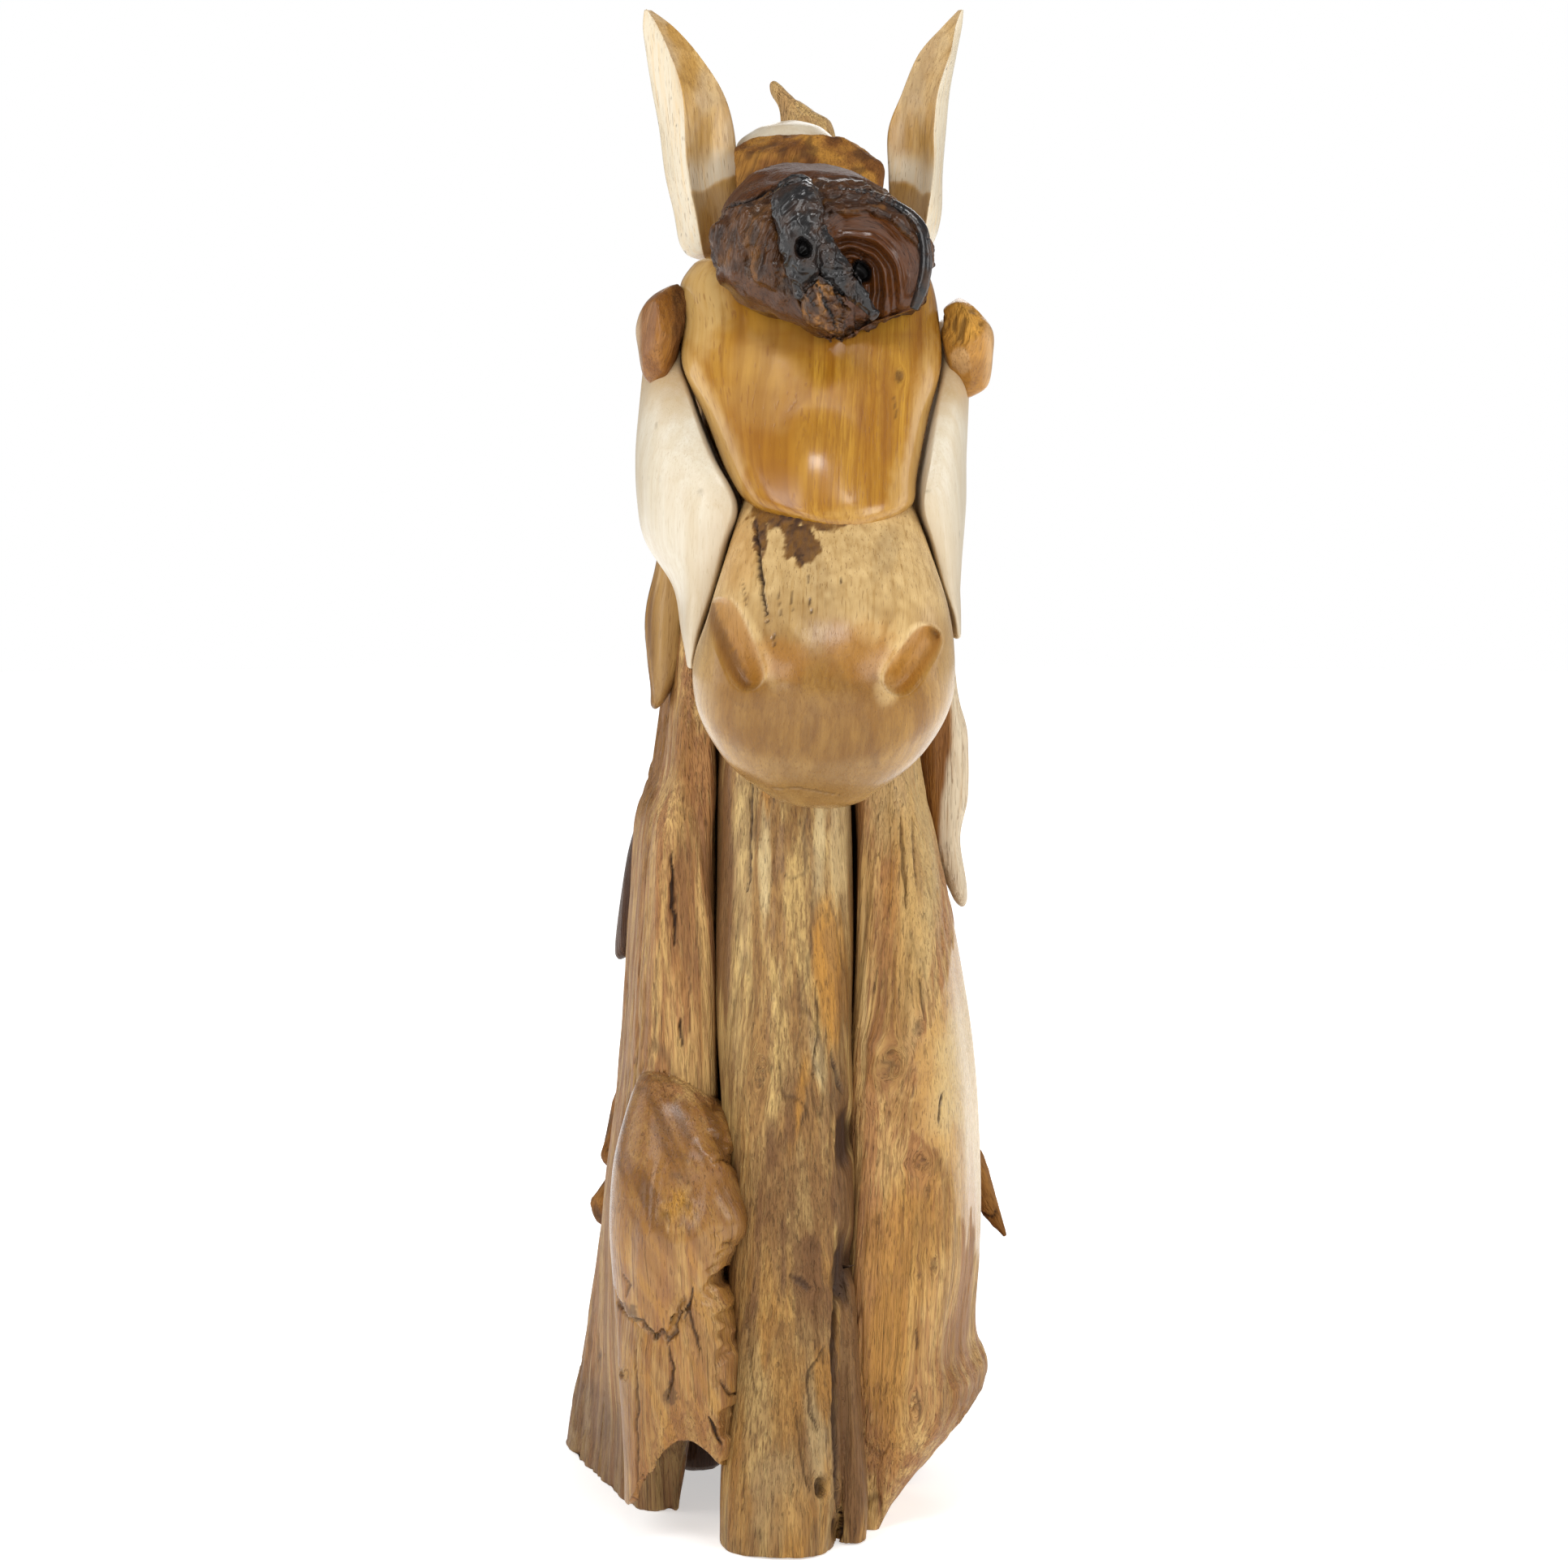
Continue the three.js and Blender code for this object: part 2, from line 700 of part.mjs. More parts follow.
const TONES = {
  honey: { color: 0xb98347, roughness: 0.38 },
  sapwood: { color: 0xe6d3b1, roughness: 0.42 },
  tan: { color: 0xb98d5c, roughness: 0.4 },
  brown: { color: 0x8a5a33, roughness: 0.55 },
  dark: { color: 0x5d3a25, roughness: 0.6 },
  weathered: { color: 0xa17a50, roughness: 0.65 },
};

const lumpShape = (form) => (grow) => solid(lump(form, grow));
const rootShape = (form) => (grow) => solid(root(form, grow));

// Earlier pieces keep their form, and later ones are cut back from them by the seam.
const PIECES = [
  { name: 'forehead', tone: TONES.honey, shape: lumpShape(FOREHEAD) },
  { name: 'muzzle', tone: TONES.tan, shape: muzzle },
  { name: 'forelock_burl', tone: TONES.dark, shape: forelock },
  { name: 'eye_left', tone: TONES.brown, shape: lumpShape(EYE_LEFT) },
  { name: 'eye_right', tone: TONES.brown, shape: lumpShape(EYE_RIGHT) },
  { name: 'ear_left', tone: TONES.tan, shape: lumpShape(EAR_LEFT) },
  { name: 'ear_right', tone: TONES.tan, shape: lumpShape(EAR_RIGHT) },
  { name: 'cheek_left', tone: TONES.sapwood, shape: lumpShape(CHEEK_LEFT) },
  { name: 'cheek_right', tone: TONES.sapwood, shape: lumpShape(CHEEK_RIGHT) },
  { name: 'crest_cap', tone: TONES.sapwood, shape: lumpShape(CREST_CAP) },
  { name: 'mane_top', tone: TONES.weathered, shape: lumpShape(MANE_TOP) },
  { name: 'poll_block', tone: TONES.brown, shape: lumpShape(POLL_BLOCK) },
  { name: 'throat_slab_left', tone: TONES.tan, shape: lumpShape(THROAT_SLAB_LEFT) },
  { name: 'neck_slab_left', tone: TONES.weathered, shape: neckSlabLeft },
  { name: 'chest_log', tone: TONES.weathered, shape: chestLog },
  { name: 'neck_slab_right', tone: TONES.weathered, shape: lumpShape(NECK_SLAB_RIGHT) },
  { name: 'mane_sliver_right', tone: TONES.brown, shape: lumpShape(MANE_SLIVER_RIGHT) },
  { name: 'mane_sliver_left', tone: TONES.dark, shape: lumpShape(MANE_SLIVER_LEFT) },
  ...Object.entries(MANE_ROOTS).map(([name, form]) => ({ name, tone: TONES.brown, shape: rootShape(form) })),
  { name: 'back_log_left', tone: TONES.dark, shape: lumpShape(BACK_LOG_LEFT) },
  { name: 'back_log_right', tone: TONES.brown, shape: lumpShape(BACK_LOG_RIGHT) },
  { name: 'crest_log', tone: TONES.weathered, shape: lumpShape(CREST_LOG) },
];

function buildSculpture() {
  const sculpture = new THREE.Group();
  const placedShells = [];
  for (const { name, tone, shape } of PIECES) {
    let piece = shape(0);
    for (const shell of placedShells) {
      if (bounds(shell).intersectsBox(bounds(piece))) {
        piece = piece.subtract(shell);
      }
    }
    const mesh = new THREE.Mesh(toGeometry(largestBody(piece)), new THREE.MeshStandardMaterial(tone));
    mesh.name = name;
    sculpture.add(mesh);
    placedShells.push(shape(SEAM));
  }
  return sculpture;
}

export default buildSculpture();
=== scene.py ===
"""Horse head put together from lumps and planks of teak root: its wood, light and camera.

Forms are written in millimetres in the frame's axes: the horse faces -Y, +Z is up, and left and right are
as seen by someone facing it. Meshes are made in metres.
"""

import itertools
import logging
import math
from dataclasses import dataclass, field, replace
from enum import Enum
from typing import Any, Sequence

import bpy
import numpy as np
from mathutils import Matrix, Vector


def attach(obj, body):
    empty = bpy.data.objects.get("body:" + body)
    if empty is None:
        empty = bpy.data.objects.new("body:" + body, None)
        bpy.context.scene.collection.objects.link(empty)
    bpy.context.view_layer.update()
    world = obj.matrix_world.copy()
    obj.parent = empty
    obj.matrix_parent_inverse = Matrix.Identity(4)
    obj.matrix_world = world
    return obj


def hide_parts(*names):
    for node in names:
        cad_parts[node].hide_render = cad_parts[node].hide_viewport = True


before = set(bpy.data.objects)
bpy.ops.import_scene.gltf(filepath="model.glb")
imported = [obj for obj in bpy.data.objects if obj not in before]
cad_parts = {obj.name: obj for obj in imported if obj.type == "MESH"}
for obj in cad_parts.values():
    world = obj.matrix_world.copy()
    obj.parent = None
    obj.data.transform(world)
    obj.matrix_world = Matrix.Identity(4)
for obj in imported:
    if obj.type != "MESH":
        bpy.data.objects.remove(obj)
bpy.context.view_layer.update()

Array = np.ndarray
Colour = tuple[float, float, float]
Spot = tuple[float, float]
log = logging.getLogger("horse_head")

MM = 0.001
BODY = "root"


class Mask(Enum):
    """What a mask on the points of a piece says about its wood; some of its pale, stain and dark marks are
    painted highlights and painted shade.
    """

    PALE = "pale"
    STAIN_AND_SHADE = "stain_and_shade"
    GOLD = "gold"
    DARK = "dark"
    RAW = "raw"


PALE, STAIN_AND_SHADE, GOLD, DARK, RAW = Mask


class Slot(Enum):
    """Material slots of the record."""

    HONEY = "honey"
    TAN = "tan"
    SAPWOOD = "sapwood"
    BROWN = "brown"
    BURL = "burl"
    WEATHERED = "weathered"


# Numbers over whole arrays


def smooth(low: float | Array, high: float | Array, value: Array) -> Array:
    """Goes from 0 at low to 1 at high along 3t^2 - 2t^3; low may lie above high.

    Args:
        low: Value where the step begins.
        high: Value where the step ends.
        value: Values to be stepped.

    Returns:
        Shares from 0 to 1.
    """
    t = np.clip((value - low) / (high - low), 0.0, 1.0)
    return t * t * (3.0 - 2.0 * t)


def lattice(cell: Array, seed: int) -> Array:
    """One fixed number from -1 to 1 for each cell: its three counts and the seed, mixed as 32-bit integers.

    Args:
        cell: Whole-number cell counts, three to a row.
        seed: Tells one noise from another.

    Returns:
        One number to a row.
    """
    count = cell.astype(np.int64).astype(np.uint32)
    key = count[:, 0] * np.uint32(374761393) + count[:, 1] * np.uint32(668265263)
    key = key + count[:, 2] * np.uint32(2246822519) + np.uint32(seed * 3266489917 % 2**32)
    key = (key ^ (key >> np.uint32(15))) * np.uint32(2246822519)
    key = (key ^ (key >> np.uint32(13))) * np.uint32(3266489917)
    key = key ^ (key >> np.uint32(16))
    return key / float(2**31) - 1.0


def noise(points: Array, size: Sequence[float], seed: int) -> Array:
    """Value noise: the lattice numbers of a cell's eight corners, blended with the fade 6t^5 - 15t^4 + 10t^3.

    Args:
        points: Places, three numbers to a row.
        size: Cell size along the three axes.
        seed: Tells one noise from another.

    Returns:
        Numbers from -1 to 1, one to a row.
    """
    place = points / np.asarray(size, dtype=float)
    cell = np.floor(place)
    t = place - cell
    fade = t**3 * (t * (6.0 * t - 15.0) + 10.0)
    total = np.zeros(len(points))
    for corner in itertools.product((0, 1), repeat=3):
        step = np.array(corner)
        weight = np.prod(np.where(step == 1, fade, 1.0 - fade), axis=1)
        total += weight * lattice(cell + step, seed)
    return total


def layered(points: Array, size: Sequence[float], seed: int, layers: int = 3) -> Array:
    """Sum of noises, each with half the cell size and half the weight of the one before.

    Args:
        points: Places, three numbers to a row.
        size: Cell size of the broadest noise along the three axes.
        seed: Tells one noise from another.
        layers: How many noises are summed.

    Returns:
        Numbers from about -1 to 1.
    """
    cell = np.asarray(size, dtype=float)
    total = sum(noise(points, cell / 2**k, seed + 31 * k) / 2**k for k in range(layers))
    return total / 1.5


def through(stations: Array, place: Array) -> Array:
    """Catmull-Rom curve through rows of numbers, with its ends clamped.

    Args:
        stations: One row for each station.
        place: Where to read the curve, counted in stations.

    Returns:
        One row for each place.
    """
    last = len(stations) - 1
    i = np.minimum(np.floor(place).astype(int), last - 1)
    t = (place - i)[:, None]
    a, b, c, d = (stations[np.clip(i + k, 0, last)] for k in (-1, 0, 1, 2))
    return b + 0.5 * t * ((c - a) + t * ((2 * a - 5 * b + 4 * c - d) + t * (3 * b - a - 3 * c + d)))


def path_distance(points: Array, path: Sequence[Spot]) -> tuple[Array, Array]:
    """Distance to a broken line, seen from the front.

    Args:
        points: Places in space.
        path: The line's corners as (x, z).

    Returns:
        The distance of each place, and how far along the line its nearest spot is, from 0 to 1.
    """
    corners = np.array(path, dtype=float)
    spans = np.diff(corners, axis=0)
    lengths = np.linalg.norm(spans, axis=1)
    offset = points[:, None, (0, 2)] - corners[:-1]
    share = np.clip((offset * spans).sum(-1) / lengths**2, 0.0, 1.0)
    gaps = np.linalg.norm(offset - share[..., None] * spans, axis=-1)
    nearest = gaps.argmin(axis=1)
    rows = np.arange(len(points))
    start = np.concatenate([[0.0], np.cumsum(lengths)[:-1]])
    along = (start[nearest] + share[rows, nearest] * lengths[nearest]) / lengths.sum()
    return gaps[rows, nearest], along


def oval(points: Array, x: float, z: float, wide: float, tall: float, lean: float = 0.0) -> Array:
    """Distance from a spot, seen from the front, counted in radii of an oval that leans by an angle.

    Args:
        points: Places in space.
        x: Middle of the oval across.
        z: Middle of the oval upwards.
        wide: Half width.
        tall: Half height.
        lean: Turn of the upright axis towards +X, in radians.

    Returns:
        0 in the middle and 1 on the oval.
    """
    dx = points[:, 0] - x
    dz = points[:, 2] - z
    across = dx * math.cos(lean) - dz * math.sin(lean)
    upward = dx * math.sin(lean) + dz * math.cos(lean)
    return np.hypot(across / wide, upward / tall)


# Skins


@dataclass
class Shell:
    """A closed skin in millimetres, with the wood's grain and masks on its points."""

    points: Array
    quads: Array
    fans: Array
    grain: Array = field(init=False)
    masks: dict[Mask, Array] = field(init=False)

    def __post_init__(self) -> None:
        """Starts with straight grain and empty masks."""
        self.grain = self.points.copy()
        self.masks = {mask: np.zeros(len(self.points)) for mask in Mask}

    def normals(self) -> Array:
        """Direction outwards at each point: the sum of the faces around it, weighted by area.

        Returns:
            Unit vectors, one to a point.
        """
        total = np.zeros_like(self.points)
        for faces in (self.quads, self.fans):
            if len(faces):
                corners = [self.points[faces[:, k]] for k in range(faces.shape[1])]
                outward = np.cross(corners[2] - corners[0], corners[-1] - corners[1])
                if faces.shape[1] == 3:
                    outward = np.cross(corners[1] - corners[0], corners[2] - corners[0])
                spread = np.repeat(outward, faces.shape[1], axis=0)
                for axis in range(3):
                    total[:, axis] += np.bincount(faces.ravel(), spread[:, axis], len(self.points))
        return total / np.maximum(np.linalg.norm(total, axis=1, keepdims=True), 1e-12)

    def push(self, height: Array) -> None:
        """Moves the points outwards by their heights."""
        self.points = self.points + self.normals() * height[:, None]

    def mark(self, mask: Mask, amount: Array) -> None:
        """Raises a mask to an amount where that is more than what it has."""
        self.masks[mask] = np.maximum(self.masks[mask], np.clip(amount, 0.0, 1.0))

    def clear(self, mask: Mask, amount: Array) -> None:
        """Lowers a mask by a share."""
        self.masks[mask] = self.masks[mask] * (1.0 - np.clip(amount, 0.0, 1.0))

    def facing(self, low: float = 0.0, high: float = 0.45) -> Array:
        """How far each point faces the front, from 0 to 1."""
        return smooth(low, high, -self.normals()[:, 1])

    def lay_grain(self, pith: Spot, lean: Spot, level: float, seed: int) -> None:
        """Sets the grain: across from the pith line in x and y, and along the wood in z.

        Args:
            pith: Where the pith line passes in x and y.
            lean: How far the pith line moves in x and y for each millimetre upwards.
            level: Height at which the pith line passes there.
            seed: Shifts the pattern along the wood, so that no two pieces look alike.
        """
        rise = self.points[:, 2] - level
        self.grain = self.points.copy()
        self.grain[:, 0] -= pith[0] + lean[0] * rise
        self.grain[:, 1] -= pith[1] + lean[1] * rise
        self.grain[:, 2] += 911.0 * seed

    def weather(self, swell: float, fibre: float, seed: int) -> None:
        """Raises broad swells and ridges along the fibres.

        Args:
            swell: Height of the broad swells.
            fibre: Height of the ridges along the fibres.
            seed: Tells one piece from another.
        """
        height = swell * layered(self.grain, (58, 58, 150), seed, 2)
        if fibre:
            height += fibre * layered(self.grain, (11, 11, 120), seed + 5, 2)
        self.push(height)

    def furrow(self, depth: float, share: Array | float, seed: int, size: Spot = (34, 300),
               width: float = 0.05, shade: float = 0.85) -> None:
        """Cuts long cracks along the grain where a stretched noise passes through zero.

        Args:
            depth: Depth of the cracks.
            share: How much of them is cut at each point.
            seed: Tells one piece from another.
            size: Distance of the cracks across and their length.
            width: Their width as a share of that distance.
            shade: How dark they are.
        """
        swing = np.abs(layered(self.grain, (size[0], size[0], size[1]), seed, 2))
        broken = smooth(-0.1, 0.35, noise(self.grain, (60, 60, 120), seed + 3))
        cut = smooth(width, 0.0, swing) * broken * share
        self.push(-depth * cut)
        self.mark(DARK, shade * cut)

    def wrinkle(self, height: float, share: Array | float, size: float, seed: int, fine: float = 0.4) -> None:
        """Raises a crust of sharp creases: 1 - |noise|, squared, in two sizes.

        Args:
            height: Height of the creases.
            share: How much of them is raised at each point.
            size: Distance of the creases.
            seed: Tells one crust from another.
            fine: Share of the smaller creases.
        """
        broad = 1.0 - np.abs(layered(self.grain, (size, size, 1.7 * size), seed, 2))
        small = 1.0 - np.abs(noise(self.grain, (0.4 * size, 0.4 * size, 0.7 * size), seed + 9))
        crust = broad**2 + fine * small**2
        self.push(height * (crust - 0.8) * share)
        self.mark(DARK, 0.55 * smooth(0.55, 0.2, broad**2) * share)

    def to_mesh(self, name: str) -> bpy.types.Mesh:
        """Puts the skin, its grain and its masks into a Blender mesh.

        Args:
            name: Name of the mesh.

        Returns:
            The mesh, in metres and shaded smooth.
        """
        mesh = bpy.data.meshes.new(name)
        corners = np.concatenate([self.quads.ravel(), self.fans.ravel()]).astype(np.int32)
        fan_start = self.quads.size
        starts = np.concatenate([np.arange(len(self.quads)) * 4, fan_start + np.arange(len(self.fans)) * 3])
        mesh.vertices.add(len(self.points))
        mesh.vertices.foreach_set("co", (self.points * MM).ravel())
        mesh.loops.add(len(corners))
        mesh.loops.foreach_set("vertex_index", corners)
        mesh.polygons.add(len(starts))
        mesh.polygons.foreach_set("loop_start", starts.astype(np.int32))
        mesh.polygons.foreach_set("use_smooth", np.ones(len(starts), dtype=bool))
        mesh.update(calc_edges=True)
        mesh.validate()
        grain = mesh.attributes.new("grain", "FLOAT_VECTOR", "POINT")
        grain.data.foreach_set("vector", (self.grain * MM).ravel())
        for mask, amount in self.masks.items():
            layer = mesh.attributes.new(mask.value, "FLOAT", "POINT")
            layer.data.foreach_set("value", amount)
        return mesh


def skin(rings: Array, low_pole: Array, top_pole: Array) -> Shell:
    """Closes a grid of rings, listed from one end to the other, with a fan of triangles at each end.

    Args:
        rings: Points as (row, column, xyz), columns anticlockwise as seen from the last row.
        low_pole: End point before the first row.
        top_pole: End point after the last row.

    Returns:
        The closed skin.
    """
    rows, sides, _ = rings.shape
    points = np.concatenate([rings.reshape(-1, 3), [low_pole, top_pole]])
    here = np.arange(rows * sides).reshape(rows, sides)
    there = np.roll(here, -1, axis=1)
    quads = np.stack([here[:-1], there[:-1], there[1:], here[1:]], axis=-1).reshape(-1, 4)
    low = np.stack([np.full(sides, rows * sides), there[0], here[0]], axis=-1)
    top = np.stack([np.full(sides, rows * sides + 1), here[-1], there[-1]], axis=-1)
    return Shell(points, quads, np.concatenate([low, top]))


def united(shells: Sequence[Shell]) -> Shell:
    """Outer skin of several overlapping shells, by Blender's boolean union.

    Args:
        shells: Closed skins.

    Returns:
        One closed skin of triangles.
    """
    objects = [bpy.data.objects.new("blank", shell.to_mesh("blank")) for shell in shells]
    for blank in objects:
        bpy.context.scene.collection.objects.link(blank)
    for other in objects[1:]:
        join = objects[0].modifiers.new("join", "BOOLEAN")
        join.operation = "UNION"
        join.solver = "MANIFOLD"
        join.object = other
    whole = objects[0].evaluated_get(bpy.context.evaluated_depsgraph_get())
    mesh = whole.to_mesh()
    mesh.calc_loop_triangles()
    points = np.empty(len(mesh.vertices) * 3)
    mesh.vertices.foreach_get("co", points)
    faces = np.empty(len(mesh.loop_triangles) * 3, dtype=np.int32)
    mesh.loop_triangles.foreach_get("vertices", faces)
    whole.to_mesh_clear()
    for blank in objects:
        bpy.data.meshes.remove(blank.data)
    return Shell(points.reshape(-1, 3) / MM, np.empty((0, 4), dtype=int), faces.reshape(-1, 3))


def at(z: float, left: float, right: float, front: float, back: float,
       ridge: float | None = None, mid: float | None = None, splay: float = 0.0) -> tuple[float, ...]:
    """One level cut through a lump.

    Args:
        z: Height of the cut.
        left: Its reach to the left.
        right: Its reach to the right.
        front: Its reach to the front.
        back: Its reach to the back.
        ridge: Its centre line in x, or None for halfway.
        mid: Its centre line in y, or None for halfway.
        splay: How far it leans to the side for each millimetre towards the back.

    Returns:
        The eight numbers of a station.
    """
    middle_x = (left + right) / 2 if ridge is None else ridge
    middle_y = (front + back) / 2 if mid is None else mid
    return z, left, right, front, back, middle_x, middle_y, splay


@dataclass(frozen=True)
class Lump:
    """A lump through level cuts; each cut is a superellipse with its own reach on four sides."""

    cuts: tuple[tuple[float, ...], ...]
    power: float = 2.4
    front_left: float | None = None
    front_right: float | None = None
    low_round: float = 0.0
    top_round: float = 0.0

    def powers(self, cos: Array, sin: Array) -> Array:
        """Power of the superellipse in each quadrant.

        Args:
            cos: Share of the way to the right.
            sin: Share of the way to the back.

        Returns:
            The power at each place.
        """
        left = self.front_left or self.power
        right = self.front_right or self.power
        return np.where(sin > 0, self.power, np.where(cos < 0, left, right))

    def profile(self, rows: int) -> tuple[Array, Array]:
        """Spaces rows evenly along the lump's side and over its ends.

        A rounded end keeps the share sqrt(1 - (1 - d/h)^2) of the cut at the distance d from a dome of
        height h, and a flat end closes at its own level. Rows over flat ends are spaced wider.

        Args:
            rows: How many rows.

        Returns:
            The place of each row, counted in stations, and the share of the cut that is left there.
        """
        stations = np.array(self.cuts)
        place = np.linspace(0.0, len(stations) - 1.0, 1600)
        z = through(stations, place)[:, 0]
        share = np.ones_like(z)
        for distance, height in ((z - z[0], self.low_round), (z[-1] - z, self.top_round)):
            if height:
                share *= np.sqrt(np.maximum(1.0 - np.maximum(1.0 - distance / height, 0.0) ** 2, 0.0))
        closing = np.linspace(0.0, 1.0, 50)[:-1]
        pace = np.ones_like(z)
        if not self.low_round:
            place = np.concatenate([np.zeros(49), place])
            share = np.concatenate([closing, share])
            pace = np.concatenate([np.full(49, 0.2), pace])
        if not self.top_round:
            place = np.concatenate([place, np.full(49, len(stations) - 1.0)])
            share = np.concatenate([share, closing[::-1]])
            pace = np.concatenate([pace, np.full(49, 0.2)])
        fields = through(stations, place)
        girth = share * (fields[:, 2] - fields[:, 1] + fields[:, 4] - fields[:, 3]) / 4
        step = np.hypot(np.diff(fields[:, 0]), np.diff(girth)) * pace[1:]
        arc = np.concatenate([[0.0], np.cumsum(step)])
        target = np.linspace(0.0, arc[-1], rows + 2)[1:-1]
        return np.interp(target, arc, place), np.interp(target, arc, share)

    def angles(self, sides: int) -> Array:
        """Spaces columns around the middle cut, closest on the front face and widest on the back.

        Args:
            sides: How many columns.

        Returns:
            Angles from the back, once round.
        """
        turn = np.linspace(0.5 * math.pi, 2.5 * math.pi, 4001)
        cos, sin = np.cos(turn), np.sin(turn)
        power = self.powers(cos, sin)
        _, left, right, front, back, *_ = np.mean(np.array(self.cuts), axis=0)
        x = np.sign(cos) * np.abs(cos) ** (2 / power) * (right - left)
        y = np.sign(sin) * np.abs(sin) ** (2 / power) * (back - front)
        weight = np.where(sin[1:] < 0, 1.0, 0.4)
        arc = np.concatenate([[0.0], np.cumsum(np.hypot(np.diff(x), 0.5 * np.diff(y)) * weight)])
        return np.interp(np.arange(sides) / sides * arc[-1], arc, turn)

    def surface(self, rows: int, sides: int) -> Shell:
        """Works out the skin: x = ridge + |cos|^(2/p) reach + splay dy and y = mid + |sin|^(2/p) reach.

        Args:
            rows: Rows from the bottom to the top.
            sides: Columns around.

        Returns:
            The closed skin.
        """
        place, share = self.profile(rows)
        z, left, right, front, back, ridge, mid, splay = through(np.array(self.cuts), place).T[:, :, None]
        turn = self.angles(sides)[None, :]
        cos, sin = np.cos(turn), np.sin(turn)
        power = self.powers(cos, sin)
        dx = np.abs(cos) ** (2 / power) * np.where(cos < 0, left - ridge, right - ridge) * share[:, None]
        dy = np.abs(sin) ** (2 / power) * np.where(sin < 0, front - mid, back - mid) * share[:, None]
        rings = np.stack(np.broadcast_arrays(ridge + dx + splay * dy, mid + dy, z + 0.0 * dx), axis=-1)
        low, top = self.cuts[0], self.cuts[-1]
        return skin(rings, np.array([low[5], low[6], low[0]]), np.array([top[5], top[6], top[0]]))

    def depth(self, points: Array) -> Array:
        """How far out places are in their cut: 1 on the skin, less inside, more outside.

        Args:
            points: Places in space.

        Returns:
            |dx/reach|^p + |dy/reach|^p for each place.
        """
        stations = np.array(self.cuts)
        z = np.clip(points[:, 2], stations[0, 0], stations[-1, 0])
        place = np.interp(z, stations[:, 0], np.arange(len(stations)))
        _, left, right, front, back, ridge, mid, splay = through(stations, place).T
        dy = points[:, 1] - mid
        dx = points[:, 0] - ridge - splay * dy
        power = self.powers(dx, dy)
        across = np.abs(dx / np.where(dx < 0, left - ridge, right - ridge)) ** power
        return across + np.abs(dy / np.where(dy < 0, front - mid, back - mid)) ** power


@dataclass(frozen=True)
class Root:
    """A round section carried along a path, with domed ends."""

    path: tuple[tuple[float, float, float], ...]
    radii: tuple[float, ...]
    squash: float = 1.0

    def surface(self, rows: int, sides: int) -> Shell:
        """Sets rings square to a Catmull-Rom path; the radius shrinks over the ends as on a quarter circle.

        Args:
            rows: Rings along the path.
            sides: Points on a ring.

        Returns:
            The closed skin.
        """
        path = np.array(self.path)
        place = np.linspace(0.0, len(path) - 1.0, rows)
        centre = through(path, place)
        tangent = np.gradient(centre, axis=0)
        tangent /= np.linalg.norm(tangent, axis=1, keepdims=True)
        radius = through(np.array(self.radii)[:, None], place)[:, 0]
        swing = np.linspace(0.0, math.pi / 2, 9)[:-1]
        dome = 0.6 * np.sin(math.pi / 2 - swing)[:, None]
        low = centre[0] - tangent[0] * radius[0] * dome
        top = centre[-1] + tangent[-1] * radius[-1] * dome[::-1]
        centre = np.concatenate([low[1:], centre, top[:-1]])
        tangent = np.concatenate([np.repeat(tangent[:1], 7, 0), tangent, np.repeat(tangent[-1:], 7, 0)])
        closing = np.sin(swing[1:])
        radius = np.concatenate([closing * radius[0], radius, closing[::-1] * radius[-1]])
        across = np.cross((0.0, 1.0, 0.0), tangent)
        across /= np.linalg.norm(across, axis=1, keepdims=True)
        deep = np.cross(tangent, across)
        turn = np.arange(sides) / sides * 2 * math.pi
        reach = radius[:, None, None]
        rings = centre[:, None] + reach * (
            np.cos(turn)[:, None] * across[:, None] + self.squash * np.sin(turn)[:, None] * deep[:, None])
        return skin(rings, low[0], top[-1])

    def distance(self, points: Array) -> Array:
        """Distance from the root's middle line, counted in its radius.

        Args:
            points: Places in space.

        Returns:
            1 on the skin, less inside, more outside.
        """
        place = np.linspace(0.0, len(self.path) - 1.0, 40)
        centre = through(np.array(self.path, dtype=float), place)
        radius = through(np.array(self.radii)[:, None], place)[:, 0]
        gaps = np.linalg.norm(points[:, None] - centre[None], axis=-1) / radius
        return gaps.min(axis=1)


# Marks of growth and use


@dataclass(frozen=True)
class Crack:
    """A crack along a broken line, seen from the front, that narrows to its ends."""

    path: tuple[Spot, ...]
    width: float = 2.0
    depth: float = 4.0
    shade: float = 0.95
    wander: float = 2.0

    def carve(self, shell: Shell) -> None:
        """Sinks the crack into the front of a skin and darkens it.

        Args:
            shell: The skin.
        """
        shift = np.zeros_like(shell.points)
        shift[:, 0] = self.wander * layered(shell.points, (14, 14, 14), 77, 2)
        gap, along = path_distance(shell.points + shift, self.path)
        reach = self.width * np.sqrt(np.maximum(np.sin(math.pi * np.clip(along, 0.03, 0.97)), 0.0))
        cut = smooth(1.0, 0.0, gap / reach) * shell.facing()
        shell.push(-self.depth * cut)
        shell.mark(DARK, self.shade * smooth(0.0, 0.6, cut))


